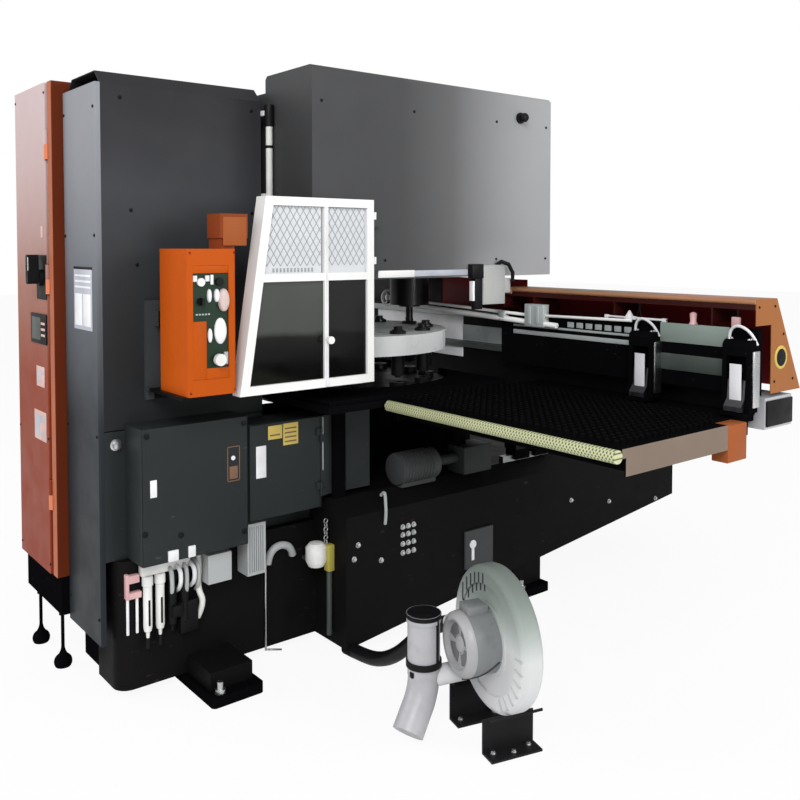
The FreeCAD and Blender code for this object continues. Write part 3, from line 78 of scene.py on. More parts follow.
class Surface(Nodes):
    """Material whose colour, roughness and bump come from noise in object space."""

    def __init__(self, name, roughness=0.4, metallic=0.0, coat=0.0, specular=0.5):
        surfaces[name] = self
        self.material = bpy.data.materials.new(name)
        self.roughness = roughness
        super().__init__(self.material)
        self.shader = self.fill(self.tree.nodes["Principled BSDF"], {
            "Roughness": roughness, "Metallic": metallic, "Coat Weight": coat,
            "Specular IOR Level": specular})
        self.place = self.add("TexCoord").outputs["Object"]
        self.normal = None

    def noise(self, scale, detail=3.0, stretch=(1, 1, 1)):
        place = self.add("Mapping", {"Scale": stretch, "Vector": self.place}).outputs["Vector"]
        return self.add("TexNoise", {"Scale": scale, "Detail": detail, "Vector": place}).outputs["Fac"]

    def along(self, axis, start, end):
        """0 at start and 1 at end along one axis of the object."""
        value = self.add("SeparateXYZ", {"Vector": self.place}).outputs[axis]
        return self.add("MapRange", {"From Min": start, "From Max": end, "Value": value},
                        interpolation_type="SMOOTHSTEP").outputs["Result"]

    def inside_plane(self, outward, point, depth, blur=0.001):
        """1 where the object lies deeper than depth behind the plane through point, else 0."""
        outward = Vector(outward).normalized()
        edge = outward.dot(Vector(point)) - depth
        height = self.add("VectorMath", {0: self.place, 1: outward}, operation="DOT_PRODUCT").outputs["Value"]
        return self.add("MapRange",
                        {"From Min": edge, "From Max": edge - blur, "Value": height}).outputs["Result"]

    def product(self, first, second):
        return self.add("Math", {0: first, 1: second}, operation="MULTIPLY").outputs["Value"]

    def ramp(self, factor, stops):
        node = self.add("ValToRGB", {"Fac": factor})
        elements = node.color_ramp.elements
        while len(elements) < len(stops):
            elements.new(0.5)
        for element, (position, colour) in zip(elements, stops):
            element.position = position
            element.color = (*colour, 1)
        return node.outputs["Color"]

    def tones(self, factor, colour, low, high):
        """The colour times low where the factor is small, and times high where it is large."""
        return self.ramp(factor, [(0.3, lighter(colour, low)), (0.7, lighter(colour, high))])

    def mask(self, factor, start, end, strength):
        return self.ramp(factor, [(start, (0, 0, 0)), (end, (strength,) * 3)])

    def blend(self, factor, first, second, mode="MIX"):
        first, second = ((*part, 1) if isinstance(part, tuple) else part for part in (first, second))
        return self.add("Mix", {0: factor, 6: first, 7: second}, data_type="RGBA", blend_type=mode).outputs[2]

    def colour(self, source):
        self.fill(self.shader, {"Base Color": source})

    def gloss(self, factor, low, high):
        remap = self.add("MapRange", {
            "From Min": 0.3, "From Max": 0.7, "To Min": low, "To Max": high, "Value": factor})
        self.fill(self.shader, {"Roughness": remap.outputs["Result"]})

    def dress(self, colour, patches, grain):
        """Colour; patches of roughness as noise scale, detail and range; grain as noise and bump."""
        self.colour(colour)
        scale, detail, less, more = patches
        self.gloss(self.noise(scale, detail), self.roughness - less, self.roughness + more)
        scale, detail, strength, distance = grain
        self.bump(self.noise(scale, detail), strength, distance)
        return self

    def bump(self, height, strength, distance):
        node = self.add("Bump", {"Strength": strength, "Distance": distance, "Height": height})
        if self.normal:
            self.fill(node, {"Normal": self.normal})
        self.normal = node.outputs["Normal"]
        self.fill(self.shader, {"Normal": self.normal})


def lighter(colour, factor):
    return tuple(min(1.0, part * factor) for part in colour)


def painted(name, colour, roughness=0.38, dirt=0.25, worn=None, specular=0.3):
    """Satin paint: slow changes of shade, orange-peel bump, grime and, if worn, bare scuffs."""
    surface = Surface(name, roughness, coat=0.1 * specular, specular=specular)
    shade = surface.tones(surface.noise(1.6, 4.0), colour, 0.92, 1.08)
    grime = surface.mask(surface.noise(7.0, 6.0, (1, 1, 0.45)), 0.55, 0.85, dirt)
    shade = surface.blend(grime, shade, lighter(colour, 0.45))
    if worn:
        scuffs = surface.mask(surface.noise(55.0, 8.0, (1, 0.3, 1)), 0.68, 0.74, 0.7)
        shade = surface.blend(scuffs, shade, worn)
    return surface.dress(shade, (11.0, 5.0, 0.07, 0.1), (240.0, 2.0, 0.12, 0.0006))


def graded(name, axis, stops, start, end, roughness=0.4, specular=0.1):
    """Satin paint whose colour runs through the stops from end to end of a long sheet; on the covers, the end
    panel and the door these stops are painted light and reflection.
    """
    surface = Surface(name, roughness, coat=0.1 * specular, specular=specular)
    shade = surface.ramp(surface.along(axis, start, end), stops)
    wave = surface.tones(surface.noise(1.3, 3.0), (1, 1, 1), 0.42, 0.6)
    return surface.dress(surface.blend(0.35, shade, wave, "SOFT_LIGHT"), (9.0, 5.0, 0.06, 0.08),
                         (220.0, 2.0, 0.1, 0.0005))


def steel(name, colour, roughness=0.3, grain=(1, 60, 60)):
    """Machined or ground metal: fine lines along one axis, with dull stains."""
    surface = Surface(name, roughness, metallic=1.0)
    lines = surface.noise(14.0, 4.0, grain)
    stains = surface.mask(surface.noise(9.0, 7.0), 0.5, 0.8, 0.35)
    surface.colour(surface.blend(stains, surface.tones(lines, colour, 0.8, 1.15), lighter(colour, 0.4)))
    surface.gloss(lines, roughness - 0.08, roughness + 0.14)
    surface.bump(lines, 0.15, 0.0004)
    return surface


def cast(name, colour, roughness=0.5):
    """Sand-cast metal under a coat of paint."""
    surface = Surface(name, roughness, coat=0.05)
    shade = surface.tones(surface.noise(5.0, 5.0), colour, 0.82, 1.1)
    soot = surface.mask(surface.noise(16.0, 8.0), 0.55, 0.8, 0.4)
    surface.bump(surface.noise(130.0, 5.0), 0.35, 0.0012)
    return surface.dress(surface.blend(soot, shade, lighter(colour, 0.55)), (30.0, 4.0, 0.08, 0.12),
                         (700.0, 2.0, 0.2, 0.0004))


def moulded(name, colour, roughness=0.45, bump=0.15, specular=0.3):
    """Moulded plastic or rubber, with a fine grain."""
    surface = Surface(name, roughness, specular=specular)
    return surface.dress(surface.tones(surface.noise(6.0, 4.0), colour, 0.85, 1.15), (20.0, 4.0, 0.08, 0.12),
                         (420.0, 2.0, bump, 0.0005))


def smoked(name, stops, low, high, divide, roughness=0.08):
    """Dark see-through glazing, paler towards its top with a painted reflection, with faint wiping marks; darker
    past divide.
    """
    surface = Surface(name, roughness, specular=0.25)
    surface.fill(surface.shader, {"Transmission Weight": 0.25, "IOR": 1.45})
    smear = surface.noise(3.0, 5.0, (1, 2.5, 1))
    shade = surface.ramp(surface.blend(0.12, surface.along("Z", low, high), smear), stops)
    far_pane = surface.along("Y", divide - 0.005, divide + 0.005)
    surface.colour(surface.blend(far_pane, shade, surface.blend(0.80, shade, (0.004, 0.004, 0.004))))
    surface.gloss(smear, roughness, roughness + 0.1)
    surface.bump(surface.noise(3.0, 1.0), 0.05, 0.002)
    return surface


def banded(name, ground, axis, start, end, inside, roughness=0.4, specular=0.1):
    """Paint that changes to a second colour past a line across one axis."""
    surface = Surface(name, roughness, specular=specular)
    tone = surface.noise(2.2, 5.0, (1, 1, 0.7))
    first, second = surface.tones(tone, ground, 0.88, 1.14), surface.tones(tone, inside, 0.88, 1.12)
    return surface.dress(surface.blend(surface.along(axis, start, end), first, second),
                         (11.0, 5.0, 0.05, 0.1), (240.0, 2.0, 0.12, 0.0006))


def channel_paint(name, stops, hollow_shade, low, high, sheet=0.0034):
    """Cover paint that drifts along X as painted light along the cover, on a channel of sheet whose hollow side
    gets a dark painted shade.
    """
    surface = graded(name, "X", stops, low.x, high.x, 0.36, 0.12)
    outer = surface.shader.inputs["Base Color"].links[0].from_socket
    roof_end = Vector((0, low.y + ROOF_DEPTH, high.z))
    slope = (0, high.z - low.z, high.y - roof_end.y)
    # Mask of the channel's inner faces, where the dark painted shade goes.
    hollow = surface.inside_plane(slope, roof_end, sheet)
    for outward in ((0, 0, 1), (1, 0, 0)):
        hollow = surface.product(hollow, surface.inside_plane(outward, high, sheet))
    surface.colour(surface.blend(hollow, outer, hollow_shade))
    return surface


def hatched(name, ground, stripe, pitch, roughness=0.6):
    """Rubber sleeve with two sets of slanted stripes that cross into small diamonds."""
    surface = Surface(name, roughness)
    flat = surface.add("SeparateXYZ", {"Vector": surface.place}).outputs
    plane = surface.add("CombineXYZ", {"X": flat["X"], "Y": flat["Z"]}).outputs["Vector"]
    waves = []
    for slant in (1, -1):
        turned = surface.add("Mapping", {"Rotation": (0, 0, slant * math.radians(38)), "Vector": plane})
        waves.append(surface.add("TexWave", {"Scale": 0.314 / pitch, "Vector": turned.outputs["Vector"]},
                                 wave_type="BANDS", bands_direction="X").outputs["Fac"])
    both = surface.product(*waves)
    tint = surface.blend(surface.noise(4.0, 4.0), lighter(ground, 0.8), lighter(ground, 1.2))
    surface.colour(surface.blend(surface.mask(both, 0.2, 0.42, 1), tint, stripe))
    surface.bump(both, 0.4, 0.001)
    return surface


ROOF_DEPTH = 0.150      # the X cover's level roof, from its edge to the slope
MULLION = -0.781        # Y of the guard's middle upright

cabinet_low, cabinet_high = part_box("cabinet_door")
bridge_low, bridge_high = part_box("bridge_cover")
cover_low, cover_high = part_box("x_cover")
window_low, window_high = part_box("guard_window")
table_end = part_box("side_tables")[1].x

# Painted light and shade up the front cover: darker at its foot, palest high up, darker again at its top.
graded("charcoal", "Z", [
    (0.0, (0.018, 0.020, 0.021)), (0.35, (0.030, 0.033, 0.036)), (0.75, (0.046, 0.048, 0.053)),
    (1.0, (0.027, 0.027, 0.030))], 1.04, 2.40, 0.45, 0.08)
painted("lower_charcoal", (0.019, 0.023, 0.024), 0.45, worn=(0.06, 0.06, 0.06), specular=0.15)
# Painted reflection: the bridge cover runs from dark grey at its low-Y end to light grey at its high-Y end.
graded("bridge_grey", "Y", [
    (0.0, (0.052, 0.053, 0.055)), (0.25, (0.062, 0.063, 0.065)), (0.55, (0.115, 0.116, 0.119)),
    (1.0, (0.33, 0.335, 0.345))], bridge_low.y, bridge_high.y, 0.42)
# Painted light: the end panel runs from near black low down to pale blue-grey at its top.
graded("blue_grey", "Z", [
    (0.0, (0.016, 0.020, 0.024)), (0.35, (0.022, 0.027, 0.032)), (0.7, (0.115, 0.125, 0.140)),
    (1.0, (0.25, 0.26, 0.285))], 0.2, 2.35)
# Painted reflection: the door runs from red-brown at its foot to pinkish grey at its top.
graded("door_red", "Z", [
    (0.0, (0.22, 0.032, 0.010)), (0.35, (0.23, 0.042, 0.016)), (0.62, (0.31, 0.14, 0.105)),
    (1.0, (0.52, 0.41, 0.41))], cabinet_low.z, cabinet_high.z)
# Orange only on the front 8 to 14 mm; behind that, dark red-brown painted shade on the cabinet's sides.
banded("cabinet_orange", (0.62, 0.20, 0.10), "Y", cabinet_low.y + 0.008, cabinet_low.y + 0.014,
       (0.115, 0.020, 0.006))
painted("control_orange", (0.44, 0.074, 0.004), 0.4, worn=(0.25, 0.08, 0.03), specular=0.08)
painted("junction_orange", (0.22, 0.045, 0.012), 0.42, specular=0.08)
banded("tray_paint", (0.046, 0.048, 0.052), "X", 0.300, 0.310, (0.004, 0.004, 0.004), specular=0.08)
# Along X the stops paint light on the cover, with a pale painted highlight near its end; inside, dark painted
# shade.
channel_paint("cover_paint", [
    (0.0, (0.26, 0.12, 0.045)), (0.25, (0.10, 0.085, 0.030)), (0.6, (0.20, 0.065, 0.030)),
    (0.97, (0.36, 0.14, 0.09)), (1.0, (0.31, 0.115, 0.035))], (0.035, 0.006, 0.005), cover_low, cover_high)
# Dark red; on the X cover's tail and the sheet inside the cover it is painted shade of the orange paint.
painted("wine_red", (0.17, 0.012, 0.014), 0.4, specular=0.1)
painted("black_paint", (0.0035, 0.0035, 0.0042), 0.42, 0.5, (0.02, 0.02, 0.02), 0.0)
painted("bed_paint", (0.0075, 0.0068, 0.0068), 0.42, 0.5, (0.03, 0.028, 0.026), 0.03)
painted("dark_steel", (0.006, 0.006, 0.007), 0.35, dirt=0.3, specular=0.2)
banded("table_black", (0.0035, 0.0035, 0.004), "X", table_end - 0.0025, table_end - 0.0005,
       (0.20, 0.155, 0.125), specular=0.0)
banded("beam_paint", (0.004, 0.004, 0.0045), "X", 1.700, 1.712, (0.46, 0.47, 0.49))
painted("white_paint", (0.80, 0.80, 0.79), 0.35, dirt=0.12)
painted("pale_grey", (0.40, 0.42, 0.42), 0.4)
painted("olive_grey", (0.055, 0.070, 0.062))
cast("cast_grey", (0.42, 0.44, 0.43))
cast("motor_grey", (0.20, 0.21, 0.215), 0.42)
cast("silencer_grey", (0.42, 0.42, 0.44), 0.4)
graded("ring_grey", "Z", [
    (0.0, (0.66, 0.66, 0.68)), (0.55, (0.56, 0.58, 0.57)), (0.82, (0.30, 0.34, 0.32)),
    (1.0, (0.17, 0.20, 0.185))], 0.11, 0.61, 0.5, 0.15)
painted("groove_grey", (0.035, 0.038, 0.038), 0.5, specular=0.1)
painted("dim_grey", (0.060, 0.062, 0.064), 0.45, specular=0.1)
painted("slot_grey", (0.15, 0.15, 0.155), 0.5, specular=0.1)
painted("lid_orange", (0.31, 0.085, 0.025), 0.42, specular=0.08)
painted("stand_paint", (0.011, 0.011, 0.012), 0.4, dirt=0.4, specular=0.1)
steel("rail_steel", (0.30, 0.31, 0.31), 0.35)
steel("bright_steel", (0.62, 0.63, 0.64), 0.25)
painted("turret_rim", (0.62, 0.64, 0.64), 0.3, dirt=0.4)
steel("tool_steel", (0.12, 0.12, 0.13), 0.32, (30, 30, 2))
moulded("black_plastic", (0.005, 0.005, 0.006), specular=0.15)
moulded("white_plastic", (0.74, 0.74, 0.72), 0.3, 0.08)
moulded("pink_plastic", (0.66, 0.40, 0.40), 0.35, 0.08)
moulded("green_plastic", (0.012, 0.030, 0.016), 0.4, 0.1, 0.2)
painted("yellow_paint", (0.42, 0.36, 0.07), 0.4)
moulded("bristle", (0.003, 0.003, 0.0035), 0.8, 0.6, 0.03)
moulded("rubber", (0.006, 0.006, 0.007), 0.35, 0.25)
# The upper stops paint a pale reflection on the glass.
smoked("smoked_glass", [
    (0.25, (0.003, 0.003, 0.003)), (0.42, (0.010, 0.010, 0.009)), (0.50, (0.075, 0.082, 0.074)),
    (1.0, (0.085, 0.090, 0.085))], window_low.z, window_high.z, MULLION)
hatched("bumper_cover", (0.50, 0.52, 0.30), (0.09, 0.10, 0.05), 0.011)
for name, colour in (
        ("white", (0.76, 0.76, 0.78)), ("yellow", (0.55, 0.42, 0.10)), ("grey", (0.42, 0.44, 0.50)),
        ("brown", (0.16, 0.085, 0.05)), ("pink", (0.60, 0.40, 0.36))):
    moulded("label_" + name, colour, 0.5, 0.05)
moulded("dial_pink", (0.62, 0.50, 0.46), 0.35, 0.05)
painted("mesh_white", (0.60, 0.62, 0.64), 0.45, dirt=0.1)
# Grey of the guard's lattice lines: painted shade of the holes and far strand sides of the white mesh.
painted("mesh_hole_shade", (0.30, 0.31, 0.33), 0.45, dirt=0.1)
painted("steel_plate", (0.36, 0.39, 0.39), 0.3)
painted("lip_grey", (0.22, 0.27, 0.245), 0.35)
# Tan of the rolled edge: a painted highlight along the cover's lip.
painted("edge_sheen_orange", (0.36, 0.17, 0.085), 0.35)
painted("sensor_grey", (0.28, 0.285, 0.28), 0.4)
cast("motor_white", (0.34, 0.34, 0.35), 0.42)

node_surfaces = {
    "bed_paint": ["bed"],
    "black_paint": ["c_frame", "floor_pads", "cabinet_plinth", "clamp_bodies", "cabinet_feet", "center_table",
                    "x_carriage", "y_blocks", "screw_supports"],
    "charcoal": ["front_upper_cover"],
    "lower_charcoal": ["lower_column_cover", "lower_front_box", "lower_side_panel", "lower_door"],
    "bridge_grey": ["bridge_cover"],
    "blue_grey": ["end_side_panel"],
    "cabinet_orange": ["cabinet_shell"],
    "door_red": ["cabinet_door"],
    "control_orange": ["control_box"],
    "junction_orange": ["junction_box"],
    "tray_paint": ["control_tray"],
    "stand_paint": ["blower_stand"],
    "cover_paint": ["x_cover"],
    "black_plastic": ["disconnect_handle", "mode_selector", "stop_button"],
    "green_plastic": ["control_plate"],
    "white_plastic": ["start_button", "light_bar", "air_unit", "estop_button"],
    "white_paint": ["guard_frame"],
    "pale_grey": ["base_boxes", "drive_modules"],
    "beam_paint": ["carriage_beam"],
    "table_black": ["side_tables"],
    "ring_grey": ["blower_casing"],
    "motor_grey": ["blower_motor"],
    "silencer_grey": ["outlet_silencer"],
    "rail_steel": ["y_rails", "x_rails"],
    "bright_steel": ["y_screw", "jack_bolts", "guard_mesh", "blower_rotor"],
    "turret_rim": ["upper_turret"],
    "dark_steel": ["lower_turret", "dies", "ram_housing", "ram", "active_punch", "punch_tools", "turret_shafts"],
    "tool_steel": ["clamp_jaw_left", "clamp_jaw_right"],
    "smoked_glass": ["guard_window"],
    "bristle": ["side_brushes"],
    "bumper_cover": ["table_bumpers"],
    "rubber": ["suction_hose"]}

for look, names in node_surfaces.items():
    for name in names:
        nodes[name].data.materials.clear()
        nodes[name].data.materials.append(surfaces[look].material)


# ---- shapes ----

UP, RIGHT = (0, 0, 1), (1, 0, 0)
OUTWARD = {"X": RIGHT, "Y": (0, -1, 0)}     # the way the shown faces look


def spot(axis, point, depth):
    """The place of a point drawn across the axis, at a depth along it."""
    place = Vector((depth, depth, depth))
    first, second = {"X": (1, 2), "Y": (0, 2), "Z": (0, 1)}[axis]
    place[first], place[second] = point
    return place


def upright(origin, axis):
    """Turns +Z to the axis and moves to the origin."""
    return Matrix.Translation(Vector(origin)) @ Vector(axis).to_track_quat("Z", "Y").to_matrix().to_4x4()


def round_points(count):
    return [(math.cos(math.tau * step / count), math.sin(math.tau * step / count)) for step in range(count)]


def put(name, data, look, body, replaces=()):
    """Add a piece on its body, with its look's material in its one slot."""
    data.materials.append(surfaces[look].material)
    piece = add_object(name, data)
    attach(piece, body)
    if replaces:
        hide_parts(*replaces)
    return piece


class Shape:
    """Gathers bevelled blocks, rods and turned forms into one mesh and sets it on a body."""

    def __init__(self, place=None):
        self.mesh = bmesh.new()
        self.place = place

    def keep(self, verts, place=Matrix.Identity(4), bevel=0.0):
        bmesh.ops.transform(self.mesh, matrix=place, verts=verts)
        if bevel:
            edges = {edge for vert in verts for edge in vert.link_edges
                     if edge.calc_face_angle(0) > math.radians(30)}
            bmesh.ops.bevel(self.mesh, geom=list(edges), offset=bevel, segments=2, affect="EDGES",
                            profile=0.5, clamp_overlap=True)
        return self

    def skin(self, rings, closed=False):
        """Faces from ring to ring; then from the last to the first if closed, else over both ends."""
        for first, second in zip(rings, rings[1:] + rings[:closed]):
            for step in range(len(first)):
                after = (step + 1) % len(first)
                self.mesh.faces.new((first[step], first[after], second[after], second[step]))
        if not closed:
            self.mesh.faces.new(rings[0][::-1])
            self.mesh.faces.new(rings[-1])
        return self

    def block(self, low, high, bevel=0.002):
        low, high = Vector(low), Vector(high)
        size = high - low
        made = bmesh.ops.create_cube(self.mesh, size=1.0)["verts"]
        place = Matrix.Translation((low + high) / 2) @ Matrix.Diagonal((*size, 1))
        return self.keep(made, place, min(bevel, 0.45 * min(size)))

    def pads(self, axis, face, rise, fields, bevel=0.0005, back=0.0):
        """Blocks on a face towards +X or -Y, each with its low and high corner across the axis."""
        start, end = (face - rise, face - back) if axis == "Y" else (face + back, face + rise)
        for field in fields:
            self.block(spot(axis, field[:2], start), spot(axis, field[2:], end), bevel)
        return self

    def rod(self, start, end, radius, end_radius=None, sides=24, bevel=0.0015):
        start, end = Vector(start), Vector(end)
        end_radius = radius if end_radius is None else end_radius
        along = end - start
        made = bmesh.ops.create_cone(self.mesh, cap_ends=True, segments=sides, radius1=radius,
                                     radius2=end_radius, depth=along.length)["verts"]
        thin = min(radius, end_radius, along.length)
        return self.keep(made, upright((start + end) / 2, along), min(bevel, 0.3 * thin))

    def lathe(self, profile, origin, axis, steps=32, closed=False):
        """Turn a profile of (radius, height) points about the axis through origin."""
        place = upright(origin, axis)
        return self.skin([[self.mesh.verts.new(place @ Vector((radius * across, radius * up, height)))
                           for across, up in round_points(steps)] for radius, height in profile], closed)

    def hoop(self, centre, axis, radius, thickness, sides=10):
        """Round ring of round section about an axis."""
        section = [(radius + thickness * out, thickness * up) for out, up in round_points(sides)]
        return self.lathe(section, centre, axis, closed=True)

    def ovals(self, face, rows, steps=36):
        """Domed ovals on a face towards +X; a row is y, z, half width, half height and rise."""
        profile = [(1.0, 0.0), (1.0, 0.45), (0.94, 0.75), (0.80, 0.92), (0.45, 1.0)]
        for y, z, wide, tall, rise in rows:
            self.skin([[self.mesh.verts.new((face + rise * out, y + wide * reach * across,
                                             z + tall * reach * up))
                        for across, up in round_points(steps)] for reach, out in profile])
        return self

    def plate(self, outline, axis, start, end, bevel=0.0015):
        """Flat outline of points across the axis, from start to end along it."""
        near, far = ([self.mesh.verts.new(spot(axis, point, depth)) for point in outline]
                     for depth in (start, end))
        return self.skin([near, far]).keep(near + far, bevel=bevel)

    def holed_plate(self, axis, centre, low, high, radius, start, end, steps=48):
        """Rectangle with a round hole, from start to end along the axis."""
        angles = [math.tau * step / steps for step in range(steps)]
        angles += [math.atan2(z - centre[1], x - centre[0]) % math.tau
                   for x in (low[0], high[0]) for z in (low[1], high[1])]
        outer, inner = [], []
        for angle in sorted(angles):
            ray = math.cos(angle), math.sin(angle)
            reach = min(((high if part > 0 else low)[index] - centre[index]) / part
                        for index, part in enumerate(ray) if abs(part) > 1e-9)
            outer.append([middle + part * reach for middle, part in zip(centre, ray)])
            inner.append([middle + part * radius for middle, part in zip(centre, ray)])
        rings = (outer, start), (outer, end), (inner, end), (inner, start)
        return self.skin([[self.mesh.verts.new(spot(axis, point, depth)) for point in points]
                          for points, depth in rings], closed=True)

    def bolts(self, places, axis, radius, height, washer=0.002):
        """Hexagon heads on washers."""
        axis = Vector(axis)
        for place in places:
            seat = Vector(place) + axis * washer
            self.rod(place, seat, radius * 1.35, bevel=0.0005)
            self.rod(seat, Vector(place) + axis * height, radius, sides=6, bevel=0.0008)
        return self

    def screws(self, axis, face, places, radius=0.006):
        """Low round heads with dished middles, on a face towards +X or -Y."""
        profile = [(radius, 0.0), (radius, radius * 0.35), (radius * 0.75, radius * 0.6),
                   (radius * 0.45, radius * 0.62), (radius * 0.35, radius * 0.2)]
        for place in places:
            self.lathe(profile, spot(axis, place, face), OUTWARD[axis], 16)
        return self

    def tube_bend(self, points, radius):
        """Round bar through the points, with a ball at each bend."""
        for start, end in zip(points, points[1:]):
            self.rod(start, end, radius, sides=12, bevel=0.0)
        for point in points[1:-1]:
            made = bmesh.ops.create_icosphere(self.mesh, subdivisions=2, radius=radius)["verts"]
            self.keep(made, Matrix.Translation(Vector(point)))
        return self

    def finish(self, name, look, slot=None, body="frame", replaces=(), smooth=True):
        if self.place:
            bmesh.ops.transform(self.mesh, matrix=self.place, verts=self.mesh.verts)
        bmesh.ops.recalc_face_normals(self.mesh, faces=self.mesh.faces)
        data = bpy.data.meshes.new(name)
        self.mesh.to_mesh(data)
        self.mesh.free()
        if smooth:
            data.shade_smooth()
            data.set_sharp_from_angle(angle=math.radians(35))
        return put(name, data, look, body, replaces)


def tube(name, points, radius, look, body="frame"):
    """Round pipe or cable along a smooth line through the points."""
    curve = bpy.data.curves.new(name, "CURVE")
    curve.dimensions = "3D"
    curve.bevel_depth = radius
    curve.bevel_resolution = 6
    curve.use_fill_caps = True
    spline = curve.splines.new("NURBS")
    spline.points.add(len(points) - 1)
    for point, place in zip(spline.points, points):
        point.co = (*place, 1)
    spline.order_u = 3
    spline.use_endpoint_u = True
    spline.resolution_u = 16
    return put(name, curve, look, body)


def plates(name, look, slot, axis, face, rise, fields, bevel=0.0005, back=0.0, body="frame"):
    """One piece of flat plates on a face towards +X or -Y."""
    Shape().pads(axis, face, rise, fields, bevel, back).finish(name, look, slot, body)


# ---- camera, light and floor ----

def add_object(name, data, place=(0, 0, 0), target=None):
    """Link a new object, turned to look at its target if it has one."""
    made = bpy.data.objects.new(name, data)
    made.location = place
    if target:
        made.rotation_euler = (Vector(target) - Vector(place)).to_track_quat("-Z", "Y").to_euler()
    bpy.context.scene.collection.objects.link(made)
    return made


def add_camera():
    data = bpy.data.cameras.new("camera")
    data.lens, data.sensor_width, data.shift_y, data.clip_end = 40.1, 36.0, -0.15, 100.0
    camera = add_object("camera", data, (3.554, -2.774, 1.740))
    azimuth, pitch = math.radians(51.2), math.radians(2.18)
    camera.rotation_euler = (math.pi / 2 - pitch, 0, azimuth)
    bpy.context.scene.camera = camera


def add_panel(name, place, target, side, power):
    """Square lamp."""
    data = bpy.data.lights.new(name, "AREA")
    data.shape = "RECTANGLE"
    data.size = data.size_y = side
    data.energy = power
    add_object(name, data, place, target)


def add_spot(name, place, target, power):
    data = bpy.data.lights.new(name, "SPOT")
    data.energy, data.spot_size, data.spot_blend, data.shadow_soft_size = power, math.radians(17), 0.8, 0.15
    add_object(name, data, place, target)


def add_world():
    """White all round, full for the camera and dimmer as a light."""
    world = bpy.data.worlds.new("studio")
    bpy.context.scene.world = world
    sky = Nodes(world)
    seen = sky.add("LightPath").outputs["Is Camera Ray"]
    strength = sky.add("MapRange", {"To Min": 0.62, "To Max": 1.0, "Value": seen}).outputs["Result"]
    sky.fill(sky.tree.nodes["Background"], {"Color": (1, 1, 1, 1), "Strength": strength})


def add_floor(half=30.0):
    """White ground that the camera sees as nearly all glow, under a soft shadow."""
    data = bpy.data.meshes.new("floor")
    corners = [(-half, -half, 0), (half, -half, 0), (half, half, 0), (-half, half, 0)]
    data.from_pydata(corners, [], [(0, 1, 2, 3)])
    surface = Surface("floor_paint", 0.7)
    surface.colour(surface.tones(surface.noise(0.6, 3.0), (1, 1, 1), 0.86, 0.89))
    glow = surface.add("Emission", {"Strength": 1.0}).outputs["Emission"]
    share = surface.product(surface.add("LightPath").outputs["Is Camera Ray"], 0.92)
    mixer = surface.add("MixShader", {0: share, 1: surface.shader.outputs["BSDF"], 2: glow})
    surface.fill(surface.tree.nodes["Material Output"], {"Surface": mixer.outputs["Shader"]})
    data.materials.append(surface.material)
    add_object("floor", data)


def set_studio():
    add_camera()
    add_world()
    add_floor()
    add_panel("key", (5.0, -4.5, 5.0), (0.4, -0.4, 1.0), 3.0, 260)
    add_panel("side", (6.0, 1.8, 3.0), (0.6, 0.2, 1.2), 2.5, 110)
    add_panel("front", (-3.0, -6.0, 3.5), (-0.2, -1.4, 1.3), 3.0, 130)
    add_spot("throat", (2.6, -0.3, 1.62), (0.0, 0.30, 1.33), 130)
    bpy.context.scene.view_settings.view_transform = "Standard"


# ---- the blower's hose ----

def suction_hose():
    """Its route's points, from the bed's nozzle to the blower's inlet stub."""
    points = [
        (0.556, -0.605, 0.033),
        (0.646, -0.602, 0.0365),
        (0.738, -0.598, 0.062),
        (0.820, -0.593, 0.110),
        (0.891, -0.588, 0.173),
        (0.958, -0.583, 0.240),
        (1.034, -0.578, 0.297),
        (1.108, -0.573, 0.332)]
    hose = tube("hose", points, 0.029, "rubber")
    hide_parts("suction_hose")


# ---- cabinet, column covers and control ----

PALE = "light_grey_paint"

DOOR_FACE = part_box("disconnect_handle")[0].y + 0.060
END_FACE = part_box("end_side_panel")[0].y
COVER_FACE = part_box("front_upper_cover")[1].x
LOWER_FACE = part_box("lower_front_box")[1].x
BRIDGE_FACE = -bridge_low.x
CARRIAGE_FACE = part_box("x_carriage")[0].y


def cabinet_details():
    """The door's panel round the main switch, its meter, and bare plates with plain fields."""
    body = "cabinet_door"
    screws = [(x, z) for z in (0.43, 0.95, 2.36) for x in (-0.560, -0.172)]
    (Shape()
        .holed_plate("Y", (-0.230, 1.610), (-0.290, 1.521), (-0.168, 1.703), 0.0345,
                     DOOR_FACE, DOOR_FACE - 0.003)
        .pads("Y", DOOR_FACE, 0.006, [(-0.371, 1.335, -0.168, 1.460)], 0.002)
        .screws("Y", DOOR_FACE, screws, 0.005)
        .finish("door_panels", "black_plastic", body=body))
    keys = [(-0.228, z, -0.180, z + 0.010) for z in (1.368, 1.392, 1.416)]
    plates("handle_mark", "label_white", "white_plastic", "Y", DOOR_FACE, 0.0599,
           [(-0.245, 1.640, -0.215, 1.695)], back=0.0575, body="switch")
    plates("meter_glass", "olive_grey", "blue_grey_paint", "Y", DOOR_FACE, 0.0075,
           [(-0.350, 1.352, -0.235, 1.445)], back=0.006, body=body)
    (Shape()
        .pads("Y", DOOR_FACE, 0.008, keys, back=0.006)
        .pads("Y", DOOR_FACE, 0.002, [(-0.314, 1.155, -0.211, 1.240), (-0.350, 0.929, -0.196, 1.052),
                                      (-0.232, 1.775, -0.208, 1.822)])
        .finish("door_plates", "label_pink", "white_plastic", body))
    fields = [(-0.302, 1.168, -0.268, 1.226), (-0.256, 1.206, -0.222, 1.226), (-0.334, 0.946, -0.286, 1.034),
              (-0.270, 1.008, -0.214, 1.034), (-0.270, 0.950, -0.214, 0.962)]
    plates("door_plate_fields", "label_grey", PALE, "Y", DOOR_FACE, 0.0028, fields, 0.0003, 0.0018, body=body)


